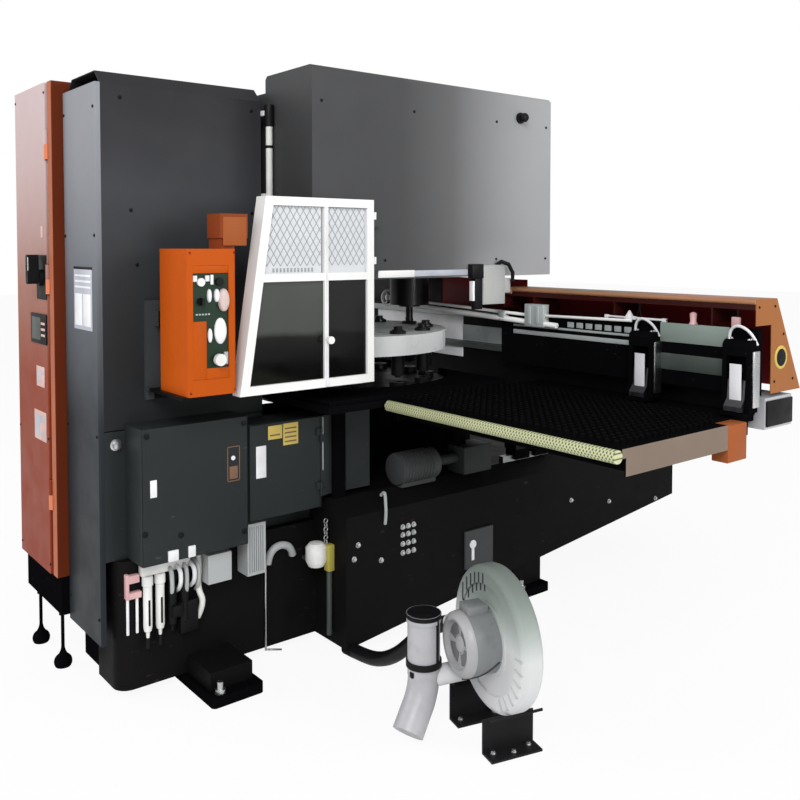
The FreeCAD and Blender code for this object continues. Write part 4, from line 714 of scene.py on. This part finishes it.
def end_panel_details():
    plates("end_plate", "label_grey", PALE, "Y", END_FACE, 0.002, [(0.014, 1.417, 0.210, 1.650)])
    fields = [(0.028, z, 0.196, z + 0.008) for z in (1.622, 1.600, 1.578)]
    fields += [(0.028, 1.432, 0.104, 1.556), (0.118, 1.432, 0.196, 1.556)]
    plates("end_plate_fields", "label_white", PALE, "Y", END_FACE, 0.003, fields, 0.0003, 0.0015)
    (Shape()
        .pads("Y", END_FACE, 0.003, [(0.014, 1.652, 0.210, 1.660)])
        .screws("Y", END_FACE, [(x, z) for z in (0.32, 1.02, 1.78, 2.26) for x in (-0.080, 0.240)])
        .screws("X", COVER_FACE, [(-1.441, 1.877), (-1.419, 1.668), (-0.92, 1.877), (-0.92, 2.30),
                                  (-1.48, 2.30)], 0.007)
        .finish("cover_screws", "black_plastic"))


def signal_light():
    foot = (0.278, -0.845, 0)
    shape = Shape().lathe([(0.0145, 2.240), (0.022, 2.244), (0.022, 2.326), (0.0205, 2.331)], foot, UP)
    for z in (1.936, 2.150):
        shape.lathe([(0.0142, z), (0.0165, z + 0.001), (0.0165, z + 0.011), (0.0142, z + 0.012)], foot, UP)
    shape.finish("signal_sleeve", "black_plastic")


def bridge_details():
    for name, look, field in (("bridge_trim", "white_paint", (-0.498, 1.606, -0.300, 1.636)),
                              ("bridge_trim_far", "label_grey", (-0.299, 1.608, 0.016, 1.634))):
        plates(name, look, PALE, "X", BRIDGE_FACE, 0.004, [field], 0.001)
    x, y, top = 0.530, -0.307, bridge_high.z - 0.070
    (Shape()
        .rod((x, y, top), (x, y, top + 0.010), 0.020)
        .hoop((x, y, top + 0.022), (0, 1, 0), 0.013, 0.004)
        .finish("lifting_eye", "bright_steel"))
    (Shape()
        .lathe([(0.026, 0.0), (0.026, 0.010), (0.018, 0.014), (0.022, 0.034), (0.016, 0.044), (0.004, 0.047)],
               (BRIDGE_FACE, 0.356, 2.350), RIGHT, 24)
        .finish("bridge_knob", "black_plastic"))
    (Shape()
        .screws("X", BRIDGE_FACE, [(y, 2.32) for y in (-0.78, -0.30, 0.20, 0.54)])
        .screws("X", BRIDGE_FACE, [(y, 1.68) for y in (-0.46, 0.20, 0.54)])
        .finish("bridge_screws", "black_plastic"))


def control_details():
    """Raised sheets leave an upper and a lower recess, where the controls are."""
    low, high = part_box("control_plate")
    face, split = high.x, -1.304
    sheets = [(low.y, 1.642, high.y, high.z), (low.y, low.z, split, 1.468), (split, low.z, high.y, 1.296)]
    plates("control_sheets", "control_orange", None, "X", face, 0.005, sheets, 0.001)
    (Shape()
        .pads("X", face, 0.008, [(y - 0.008, 1.612, y + 0.008, 1.634) for y in (-1.348, -1.300)], 0.002)
        .pads("X", face, 0.006, [(-1.287, 1.600, -1.275, 1.636)], 0.002)
        .ovals(face, [(-1.292, 1.560, 0.008, 0.024, 0.012), (-1.262, 1.560, 0.010, 0.024, 0.012),
                      (-1.248, 1.430, 0.024, 0.048, 0.010), (-1.290, 1.415, 0.008, 0.026, 0.010)])
        .finish("control_lights", "label_white", "white_plastic"))
    (Shape()
        .ovals(face, [(-1.236, 1.543, 0.020, 0.042, 0.022)])
        .finish("feed_dial", "dial_pink", PALE))
    keys = [-1.345 + step * 0.012 for step in range(5)]
    screws = [(y, z) for z in (1.21, 1.716) for y in (-1.368, -1.192)]
    (Shape()
        .pads("X", face, 0.008, [(-1.235, 1.306, -1.219, 1.352)], 0.002)
        .pads("X", face, 0.003, [(y, 1.490, y + 0.008, 1.496) for y in keys])
        .finish("control_keys", "steel_plate", PALE))
    (Shape()
        .screws("X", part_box("control_box")[1].x, screws, 0.004)
        .finish("control_screws", "wine_red", "control_orange"))
    plates("junction_lid", "lid_orange", "control_orange", "X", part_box("junction_box")[1].x, 0.0015,
           [(-1.226, 1.742, -1.129, 1.848)])


# ---- guard ----

def guard_details():
    """Diamond lattice on a pale backing, in the two panes over the rail; the lattice's grey lines are painted
    shade of the white mesh's holes and far strand sides.
    """
    low_z, high_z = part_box("guard_mesh")[0].z, 1.895
    near_head, far_side = -1.030, -0.580
    near_foot = near_head - (high_z - low_z) * 0.135
    panes = [(near_foot, near_head, MULLION - 0.016), (MULLION + 0.016, MULLION + 0.016, far_side)]
    backing, lattice = Shape(), Shape()
    for foot, head, side in panes:
        outline = [(foot, low_z), (head, high_z), (side, high_z), (side, low_z)]
        backing.plate(outline, "X", 0.5935, 0.5950, 0.0)
    backing.finish("guard_backing", "mesh_white", PALE, "guard", ["guard_mesh"])
    wide, tall, strand, plane = 0.030, 0.048, 0.0013, 0.5958
    for pane in panes:
        count = int((pane[2] - pane[0] + (high_z - low_z)) / wide) + 14
        for slant in (1, -1):
            for step in range(count):
                ends = clipped(pane[0] - 0.22 + step * wide, slant * wide / tall, pane, low_z, high_z)
                if ends:
                    lattice.rod((plane, *ends[0]), (plane, *ends[1]), strand, sides=5, bevel=0.0)
    loops = [near_foot + 0.045 + step * 0.016 for step in range(12)]
    lattice.pads("X", 0.5945, 0.0017, [(y, low_z + 0.006, y + 0.008, low_z + 0.022) for y in loops], 0.0003)
    lattice.finish("guard_lattice", "mesh_hole_shade", PALE, "guard")
    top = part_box("guard_frame")[1].z - 0.004
    (Shape()
        .pads("X", 0.610, 0.004, [(MULLION - 0.004, 1.181, MULLION + 0.004, top)], 0.001)
        .pads("X", 0.610, 0.010, [(MULLION - 0.006, 1.180, MULLION + 0.006, 1.206)], 0.002)
        .finish("guard_strip", "label_white", PALE, "guard"))


def clipped(start, slope, pane, low_z, high_z, margin=0.002, steps=64):
    """Ends of one slanted strand inside a pane, whose near side leans from foot to head, or None."""
    foot, head, side = pane
    lean = (head - foot) / (high_z - low_z)
    first_z = low_z + 0.030
    inside = []
    for step in range(steps + 1):
        z = first_z + (high_z - first_z) * step / steps
        y = start + slope * (z - first_z)
        if foot + lean * (z - low_z) + margin < y < side - margin:
            inside.append((y, z))
    return (inside[0], inside[-1]) if len(inside) > 2 else None


# ---- throat ----

def throat_details():
    """Plates on the beam's web, the rods and brackets of the carriage, and the edge sensor."""
    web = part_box("carriage_beam")[0].y - 0.0005
    plates("web_plate", "label_white", PALE, "Y", web, 0.005,
           [(-0.610, 1.160, 0.120, 1.213), (-0.610, 1.247, 0.120, 1.373)], 0.001, body="carriage_y")
    plates("web_plate_end", "steel_plate", PALE, "Y", web, 0.005, [(0.122, 1.247, 0.530, 1.330)], 0.001,
           body="carriage_y")
    hub, joint, rod_y = Vector((-0.410, 0.328, 1.449)), (0.668, 0.312, 1.417), 0.312
    # The rods, hub and spokes are steel; their white paint is a painted sheen, brighter than the steel.
    shape = Shape().rod(hub, joint, 0.0075).rod(joint, (1.262, rod_y, 1.428), 0.0065)
    shape.hoop(hub, RIGHT, 0.042, 0.008).rod(hub - Vector((0.012, 0, 0)), hub + Vector((0.006, 0, 0)), 0.016)
    for across, up in round_points(3):
        shape.rod(hub, hub + Vector((0, 0.038 * across, 0.038 * up)), 0.004)
    shape.rod((-0.226, rod_y, 1.420), (0.853, rod_y, 1.378), 0.0125)
    shape.finish("carriage_rods", "white_paint", "bright_steel", "carriage_x")
    back = CARRIAGE_FACE - 0.0002
    (Shape()
        .block((0.667, 0.296, 1.366), (0.785, back, 1.470), 0.003)
        .pads("Y", 0.296, 0.004, [(0.688, 1.378, 0.708, 1.460), (0.738, 1.378, 0.758, 1.460)], 0.001)
        .block((0.490, 0.300, 1.380), (0.530, back, 1.428), 0.003)
        .finish("rod_brackets", "steel_plate", "bright_steel", "carriage_x"))
    # The cover's tail is orange; its wine red is painted shade.
    (Shape()
        .block((-0.162, 0.510, 1.300), (0.484, 0.514, 1.572), 0.001)
        .finish("cover_tail", "wine_red", "cabinet_orange", "carriage_x"))
    # Black block behind the beam's web: painted shade deep in the throat.
    (Shape()
        .block((-0.900, 0.506, 1.300), (-0.160, 0.518, 1.575))
        .finish("throat_shade_block", "black_plastic", body="carriage_x"))
    (Shape()
        .block((BRIDGE_FACE, 0.040, 1.450), (0.602, 0.086, 1.600))
        .block((BRIDGE_FACE, 0.018, 1.592), (0.608, 0.090, 1.658), 0.004)
        .tube_bend([(0.585, 0.190, 1.650), (0.606, 0.205, 1.668), (0.618, 0.240, 1.655),
                    (0.618, 0.268, 1.615), (0.612, 0.272, 1.575)], 0.009)
        .finish("sensor_post", "black_plastic"))
    (Shape()
        .block((BRIDGE_FACE, 0.088, 1.470), (0.606, 0.230, 1.653), 0.004)
        .block((BRIDGE_FACE, 0.230, 1.520), (0.600, 0.272, 1.590), 0.003)
        .finish("sensor_box", "sensor_grey", PALE))
    (Shape()
        .block((0.576, 0.028, 1.490), (0.600, 0.039, 1.580), 0.001)
        .finish("sensor_strip", "label_white", PALE))


# ---- carriage and tables ----

def carriage_details():
    """Strips on the carriage's face left and right of the clamps, and what sits on the clamps and on top."""
    body, face, half = "carriage_x", CARRIAGE_FACE, 0.0575 + 0.002
    sides = ("left", "right")
    centres = [sum(corner.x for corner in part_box("clamp_jaw_" + side)) / 2 for side in sides]
    start, end = 0.562, centres[0] - half
    teeth = [0.900 + step * 0.052 for step in range(7)]
    (Shape()
        .pads("Y", face, 0.0035, [(start, 1.322, end, 1.342), (start, 1.358, end, 1.368)], 0.001)
        .pads("Y", face, 0.0055, [(x, 1.374, x + 0.034, 1.398) for x in teeth], 0.001)
        .finish("carriage_strips", "steel_plate", "bright_steel", body))
    start, end = centres[0] + half, centres[1] - half
    plates("carriage_lip", "lip_grey", PALE, "Y", face, 0.0035, [(start, 1.352, end, 1.430)], 0.002,
           body=body)
    plates("carriage_band", "olive_grey", "blue_grey_paint", "Y", face, 0.0035,
           [(start, 1.240, end, 1.306)], 0.002, body=body)
    shape = Shape()
    for side, centre in zip(sides, centres):
        (Shape()
            .block((centre - 0.024, 0.2765, 1.165), (centre + 0.024, 0.2800, 1.300), 0.001)
            .finish("jaw_plate_" + side, "label_white", PALE, "clamp_jaw_" + side))
        bolts = [(centre + reach, y, 1.390) for y in (0.300, 0.318) for reach in (-0.040, 0.040)]
        shape.bolts(bolts, UP, 0.005, 0.005)
        shape.block((centre + 0.058, 0.290, 1.140), (centre + 0.066, face - 0.0002, 1.350))
    shape.finish("clamp_bolts", "bright_steel", body=body)
    route = [(-0.046, 0.312, 1.388), (-0.044, 0.306, 1.420), (-0.010, 0.300, 1.446),
             (0.030, 0.304, 1.430), (0.052, 0.316, 1.400), (0.056, 0.330, 1.372)]
    for side, centre in zip(sides, centres):
        tube("clamp_pipe_" + side, [(centre + x, y, z) for x, y, z in route], 0.0055, "label_white",
             body)
    shape = Shape().lathe([(0.022, 0.0), (0.022, 0.006), (0.004, 0.036), (0.002, 0.038)],
                          (1.222, 0.352, 1.430), UP, 20)
    shape.rod((1.107, 0.344, 1.437), (1.410, 0.344, 1.437), 0.005)
    for x in (1.110, 1.250, 1.400):
        shape.block((x - 0.010, 0.338, 1.428), (x + 0.010, 0.350, 1.444), 0.001)
    shape.finish("carriage_top_parts", "label_white", PALE, body)
    (Shape()
        .lathe([(0.018, 0.0), (0.018, 0.030), (0.012, 0.040), (0.014, 0.072), (0.004, 0.078)],
               (1.530, 0.350, 1.400), UP, 20)
        .block((1.700, 0.340, 1.430), (1.735, 0.352, 1.470), 0.003)
        .finish("limit_cam", "pink_plastic", "white_plastic", body))
    (Shape()
        .rod((1.250, 0.352, 1.426), (1.280, 0.356, 1.500), 0.0022, sides=8, bevel=0.0)
        .rod((1.285, 0.352, 1.426), (1.265, 0.356, 1.500), 0.0022, sides=8, bevel=0.0)
        .rod((1.722, 0.346, 1.468), (1.728, 0.348, 1.520), 0.0025, sides=8, bevel=0.0)
        .finish("carriage_wires", "black_plastic", body=body))


def cover_details():
    """The X cover's rolled edge, tan as a painted highlight, a wine-red sheet inside it as painted shade, and
    the ringed port and screws on its end.
    """
    body, low, high = "carriage_x", cover_low, cover_high
    y, z = low.y + 0.002, high.z - 0.010
    # Rolled edge and its round end, tan as a painted highlight.
    (Shape()
        .rod((low.x + 0.002, y, z), (high.x - 0.002, y, z), 0.0095, sides=20)
        .rod((low.x + 0.001, y + 0.002, z - 0.006), (low.x + 0.060, y + 0.002, z - 0.006), 0.016, sides=20)
        .finish("cover_edge", "edge_sheen_orange", "cabinet_orange", body))
    roof = low.y + ROOF_DEPTH
    top, bottom, back = high.z - 0.008, low.z + 0.004, high.y
    outline = [(roof - 0.010, top), (roof - 0.006, top), (back - 0.006, bottom), (back - 0.010, bottom)]
    # Wine-red sheet by the inner back wall: painted shade inside the cover.
    (Shape()
        .plate(outline, "X", low.x + 0.004, high.x - 0.004, 0.0)
        .finish("cover_inner_shade", "wine_red", "cabinet_orange", body))
    port = (high.x, 0.525, 1.310)
    (Shape()
        .hoop(port, RIGHT, 0.041, 0.005)
        .lathe([(0.046, -0.001), (0.046, 0.002), (0.040, 0.0035)], port, RIGHT)
        .finish("cover_ring", "label_yellow", "cabinet_orange", body))
    (Shape()
        .lathe([(0.034, 0.0), (0.034, 0.004), (0.026, 0.0055)], port, RIGHT)
        .finish("cover_port", "black_plastic", body=body))
    screws = [(0.365, 1.51), (0.480, 1.51), (0.545, 1.40), (0.620, 1.22), (0.480, 1.22)]
    (Shape()
        .screws("X", high.x, screws, 0.005)
        .finish("cover_screws_x", "black_plastic", body=body))


def table_details():
    (Shape()
        .block((1.757, 0.124, 0.960), (table_end - 0.0015, 0.250, 1.096), 0.004)
        .finish("table_bracket", "lid_orange", "cabinet_orange", "carriage_y"))
    # Black plate inside the beam's open end: painted shade of its hollow inside.
    (Shape()
        .block((1.800, 0.420, 1.050), (1.808, 0.612, 1.150), 0.004)
        .finish("beam_end_shade", "black_plastic", body="carriage_y"))


def brush_tufts():
    """Short brushes that the sheet slides over, in rows on both side tables, round the bracket."""
    shape = Shape()
    low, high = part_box("side_brushes")
    pitch, radius, margin, inner = 0.034, 0.0085, 0.012, 0.680
    bracket_x, bracket_y = 1.738, 0.100
    tufts = random.Random(5)
    for side in (-1, 1):
        for column in range(int((high.x - inner) / pitch)):
            for row in range(int((high.y - low.y) / pitch)):
                x = inner + margin + column * pitch
                y = low.y + margin + row * pitch
                if x > bracket_x and y > bracket_y:
                    continue
                lean = Vector((tufts.uniform(-1, 1), tufts.uniform(-1, 1), 0)) * 0.0012
                top = Vector((side * x, y, high.z)) + lean
                shape.rod((side * x, y, low.z), top, radius * 0.8, radius, sides=7, bevel=0.0)
    shape.finish("table_tufts", "bristle", body="carriage_y", replaces=("side_brushes",), smooth=False)


# ---- lower covers, base and bed ----

def lower_cover_details():
    plates("serial_frame", "label_brown", PALE, "X", LOWER_FACE, 0.002, [
        (-1.125, 0.810, -1.121, 0.950), (-1.073, 0.810, -1.069, 0.950), (-1.125, 0.810, -1.069, 0.814),
        (-1.125, 0.946, -1.069, 0.950), (-1.115, 0.820, -1.079, 0.870)])
    (Shape()
        .lathe([(0.009, 0.0), (0.009, 0.003), (0.006, 0.005)], (LOWER_FACE, -1.099, 0.903), RIGHT, 20)
        .pads("X", LOWER_FACE, 0.002, [(-1.443, 0.803, -1.417, 0.868)])
        .finish("lower_marks", "label_white", "white_plastic"))
    shape = Shape()
    for y, z in ((-1.465, 0.670), (-1.322, 0.640), (-1.455, 1.035), (-1.050, 1.035), (-1.050, 0.600)):
        shape.lathe([(0.012, 0.0), (0.012, 0.002), (0.006, 0.004)], (LOWER_FACE, y, z), RIGHT, 20)
    shape.finish("lower_screws", "black_plastic")
    (Shape()
        .bolts([(COVER_FACE, -1.510, 0.985)], RIGHT, 0.017, 0.020)
        .finish("lower_bolt", "bright_steel"))
    body, door = "lower_door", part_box("lower_door")[0].x + 0.016
    plates("door_tag", "label_white", "white_plastic", "X", door, 0.002, [(-0.996, 0.802, -0.950, 0.932)],
           body=body)
    plates("door_tags_yellow", "label_yellow", PALE, "X", door, 0.002,
           [(-0.940, 0.952, -0.874, 1.008), (-0.869, 0.920, -0.797, 1.010)], body=body)
    lines = [(-0.862, 0.932 + step * 0.018, -0.806, 0.938 + step * 0.018) for step in range(4)]
    plates("door_tag_lines", "label_brown", PALE, "X", door, 0.0026,
           lines + [(-0.932, 0.966, -0.884, 0.972)], 0.0003, 0.0018, body=body)
    plates("panel_seam", "pale_grey", PALE, "X", LOWER_FACE, 0.004, [(-0.676, 0.787, -0.672, 1.016)], 0.001)
    (Shape()
        .bolts([(LOWER_FACE, -0.584, 0.995)], RIGHT, 0.012, 0.012)
        .finish("panel_bolt", "bright_steel"))


def air_details():
    """Filter bowls, their bracket, and the hoses and pipes below them."""
    low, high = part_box("air_unit")
    x, bowl_x = low.x, low.x + 0.028
    bowls = [low.y + 0.025 + step * 0.050 for step in range(4)]
    rim = [(0.017, 0.440), (0.021, 0.444), (0.021, 0.474), (0.018, 0.480)]
    shape = Shape().block((x, low.y, 0.480), (x + 0.036, high.y, 0.520), 0.004)
    for y in bowls[:2]:
        shape.lathe([(0.006, 0.240), (0.008, 0.262), (0.014, 0.266), (0.017, 0.280)] + rim, (bowl_x, y, 0),
                    UP, 28)
    for y in (low.y + 0.060, low.y + 0.130):
        shape.block((x, y, 0.520), (x + 0.044, y + 0.034, 0.536), 0.003)
    shape.finish("air_bowls", "white_plastic", replaces=("air_unit",))
    shape = Shape()
    for y in bowls[2:]:
        shape.lathe([(0.006, 0.240), (0.008, 0.262), (0.017, 0.270)] + rim, (bowl_x, y, 0), UP, 28)
    for y in bowls[:2]:
        shape.block((bowl_x + 0.012, y - 0.004, 0.290), (bowl_x + 0.0185, y + 0.004, 0.390), 0.001)
        shape.lathe([(0.004, 0.196), (0.009, 0.200), (0.009, 0.226), (0.005, 0.240)], (bowl_x, y, 0), UP, 20)
    shape.block((x, -1.330, 0.300), (x + 0.060, -1.290, 0.345), 0.004)
    shape.block((x, -1.290, 0.220), (x + 0.040, -1.215, 0.345), 0.004)
    shape.finish("air_bowls_dark", "black_plastic")
    (Shape()
        .block((x - 0.004, -1.500, 0.400), (x + 0.020, -1.488, 0.495))
        .block((x - 0.004, -1.490, 0.460), (x + 0.022, -1.448, 0.490))
        .block((x - 0.004, -1.490, 0.400), (x + 0.022, -1.440, 0.424))
        .finish("cup_bracket", "pink_plastic", "white_plastic"))
    tops = [(-1.377, 0.548, -1.335, 0.590), (-1.295, 0.548, -1.265, 0.592)]
    (Shape()
        .rod((x + 0.010, -1.492, 0.402), (x + 0.010, -1.492, 0.262), 0.0055)
        .rod((x + 0.010, -1.455, 0.402), (x + 0.010, -1.455, 0.262), 0.0055)
        .pads("X", LOWER_FACE, 0.010, tops, 0.003)
        .finish("base_drops", "label_white", "white_plastic"))
    hoses = ((-1.336, 0.036, 0.372), (-1.306, 0.052, 0.392), (-1.276, 0.040, 0.366), (-1.250, 0.056, 0.398),
             (-1.226, 0.040, 0.380))
    x += 0.012
    for index, (y, reach, drop) in enumerate(hoses):
        route = [(x, y, 0.500), (x + reach, y + 0.004, 0.496), (x + reach, y + 0.008, 0.440),
                 (x + 0.024, y + 0.012, drop + 0.010), (x - 0.006, y + 0.016, drop - 0.006)]
        tube(f"air_hose_{index}", route, 0.0085, "label_white" if index % 2 else "pale_grey")
    tube("white_pipe", [(0.318, -1.205, 0.539), (0.330, -1.206, 0.470), (0.322, -1.210, 0.380),
                        (0.336, -1.186, 0.320), (0.318, -1.208, 0.262)], 0.012, "white_plastic")


def oil_details():
    """Drain, bent pipe, oil cup and its pipe, the yellow box and its chain."""
    (Shape()
        .rod((0.308, -0.891, 0.418), (0.308, -0.893, 0.030), 0.004)
        .rod((0.308, -0.893, 0.034), (0.308, -0.815, 0.012), 0.004)
        .finish("drain_pipe", "bright_steel"))
    tube("bent_pipe", [(0.312, -0.884, 0.400), (0.316, -0.878, 0.450), (0.316, -0.822, 0.474),
                       (0.316, -0.770, 0.450), (0.306, -0.757, 0.412)], 0.016, "pale_grey")
    (Shape()
        .lathe([(0.010, 0.0), (0.034, 0.006), (0.046, 0.030), (0.046, 0.086), (0.030, 0.104), (0.012, 0.108)],
               (0.404, -0.700, 0.372), UP)
        .finish("oil_cup", "white_plastic"))
    (Shape()
        .block((0.420, -0.672, 0.356), (0.456, -0.640, 0.470), 0.004)
        .finish("yellow_box", "yellow_paint", PALE))
    (Shape()
        .rod((0.438, -0.656, 0.356), (0.438, -0.656, 0.078), 0.012)
        .block((0.300, -0.706, 0.380), (0.404, -0.692, 0.394))
        .finish("oil_pipe", "olive_grey", "blue_grey_paint"))
    shape = Shape()
    for step in range(6):
        shape.hoop((0.430, -0.668, 0.481 + step * 0.018), RIGHT if step % 2 else (0, 1, 0), 0.009, 0.0026)
    shape.finish("chain", "bright_steel")


def bed_details():
    face = -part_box("bed")[0].x
    places = [(y, z) for y in (-0.336, -0.305, -0.274) for z in (0.390, 0.430, 0.470, 0.505)]
    places += [(-0.600, 0.419), (-0.456, 0.384), (0.789, 0.422), (1.518, 0.302), (-0.579, 0.476), (1.10, 0.36)]
    (Shape()
        .bolts([(face, *place) for place in places], RIGHT, 0.009, 0.010)
        .finish("bed_bolts", "bright_steel"))
    (Shape()
        .pads("X", face, 0.014, [(0.030, 0.230, 0.210, 0.410)], 0.004)
        .pads("X", face, 0.030, [(0.020, 0.190, 0.220, 0.206)], 0.003)
        .finish("bed_bracket", "dim_grey", PALE))
    front = face + 0.014
    (Shape()
        .lathe([(0.020, 0.0), (0.020, 0.004), (0.014, 0.006)], (front, 0.075, 0.345), RIGHT, 24)
        .pads("X", front, 0.004, [(0.067, 0.270, 0.083, 0.335)], 0.001)
        .finish("bed_bracket_mark", "label_white", "white_plastic"))
    x, z = 0.440, 0.735
    shape = Shape().rod((x, -0.300, z), (x, -0.080, z), 0.070, sides=40)
    shape.block((x - 0.040, -0.290, 0.655), (x + 0.040, -0.090, 0.690), 0.004)
    for step in range(10):
        shape.rod((x, -0.290 + step * 0.018, z), (x, -0.284 + step * 0.018, z), 0.074, sides=40)
    shape.finish("feed_motor", "dim_grey", "motor_grey")
    (Shape()
        .block((x - 0.060, 0.070, 0.660), (x + 0.060, 0.250, 0.790), 0.006)
        .rod((x, -0.080, z), (x, 0.070, z), 0.024)
        .finish("feed_gearbox", "groove_grey", PALE))
    tube("bed_cable", [(0.520, -0.440, 0.660), (0.548, -0.442, 0.690), (0.560, -0.446, 0.640),
                       (0.556, -0.440, 0.580), (0.546, -0.438, 0.540)], 0.007, "pale_grey")


# ---- blower ----

BLOWER = Matrix.Translation((1.352, -0.565, 0.360)) @ Matrix.Rotation(math.radians(-15), 4, "Z")


def arc_outline(inner, outer, start, end, steps=10):
    """Points round a ring's sector, as (x, z)."""
    angles = [start + (end - start) * step / steps for step in range(steps + 1)]
    return ([(outer * math.cos(angle), outer * math.sin(angle)) for angle in angles]
            + [(inner * math.cos(angle), inner * math.sin(angle)) for angle in reversed(angles)])


def blower_details():
    front, near, radius = -0.042, -0.167, 0.113
    shaft, back = (0, front, 0), (0, -1, 0)
    (Shape(BLOWER)
        .lathe([(radius, 0.0), (radius, 0.094), (radius - 0.002, 0.096)], shaft, back, 64)
        .block((-0.036, near + 0.035, radius - 0.020), (0.036, front - 0.012, radius + 0.024), 0.004)
        .finish("motor_body", "motor_grey", replaces=("blower_motor",)))
    (Shape(BLOWER)
        .lathe([(radius - 0.001, 0.094), (radius, 0.096), (radius - 0.003, 0.112), (radius - 0.012, 0.121),
                (radius - 0.022, 0.125), (radius - 0.029, 0.123), (radius - 0.033, 0.105), (0.030, 0.103),
                (0.026, 0.108), (0.004, 0.110)], shaft, back, 64)
        .finish("motor_cap", "motor_white", "motor_grey"))
    shape = Shape(BLOWER)
    for step in range(4):
        middle = math.tau * (step + 0.5) / 4
        outline = arc_outline(0.034, 0.072, middle - 0.58, middle + 0.58)
        shape.plate(outline, "Y", front - 0.106, front - 0.102)
    shape.finish("motor_slots", "slot_grey", "black_plastic")
    shape = Shape(BLOWER)
    turns = [-1.35 + step * 0.13 for step in range(9)]
    shape.tube_bend([(radius * math.cos(turn), near + 0.016 + step * 0.0125, radius * math.sin(turn))
                     for step, turn in enumerate(turns)], 0.0035)
    for step in range(6):
        x = -0.176 + step * 0.030
        rise, edge = math.sqrt(0.226 ** 2 - x * x), math.sqrt(0.191 ** 2 - x * x)
        shape.block((x - 0.004, front - 0.0015, edge), (x + 0.004, front + 0.004, rise), 0.001)
        shape.block((x - 0.004, front + 0.0065, edge - 0.030), (x + 0.004, front + 0.010, edge), 0.001)
    shape.finish("blower_grooves", "groove_grey", "cast_grey")
    shape = Shape(BLOWER)
    for step in range(7):
        angle = math.radians(-62 + step * 11)
        inner, outer = (Vector((reach * math.cos(angle), front, reach * math.sin(angle)))
                        for reach in (0.196, 0.238))
        shape.rod(inner, outer, 0.004, sides=8, bevel=0.0)
    shape.finish("blower_ribs", "cast_grey")
    silencer_details(near)


def silencer_details(near):
    """Dark bands, strap and catch on the silencer, and the stand's bolts."""
    x, y, barrel, floor = -0.112, near - 0.065, 0.058, -0.360
    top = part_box("outlet_silencer")[1].z + floor
    cap, bead = barrel + 0.0048, barrel + 0.0058
    strap_x, strap_y = (barrel * part for part in (math.cos(math.radians(30)), math.sin(math.radians(30))))
    (Shape(BLOWER)
        .lathe([(cap, top - 0.016), (cap, top - 0.001), (cap - 0.0038, top + 0.001)], (x, y, 0), UP, 40)
        .lathe([(bead, floor + 0.256), (bead, floor + 0.278)], (x, y, 0), UP, 40)
        .block((x + strap_x - 0.006, y + strap_y - 0.006, floor + 0.277),
               (x + strap_x + 0.006, y + strap_y + 0.004, top - 0.010))
        .block((x + 0.010, y - barrel - 0.002, floor + 0.228),
               (x + 0.028, y - barrel + 0.010, floor + 0.246), 0.001)
        .finish("silencer_bands", "black_plastic"))
    feet = ((0.100, -0.070), (0.100, 0.070), (0.120, 0.0), (-0.140, -0.070), (-0.140, 0.070))
    (Shape(BLOWER)
        .bolts([(*foot, floor + 0.008) for foot in feet], UP, 0.008, 0.010)
        .finish("stand_bolts", "bright_steel"))


for build in (suction_hose, cabinet_details, end_panel_details, signal_light, bridge_details, control_details,
              guard_details, throat_details, carriage_details, cover_details, table_details, brush_tufts,
              lower_cover_details, air_details, oil_details, bed_details, blower_details, set_studio):
    build()
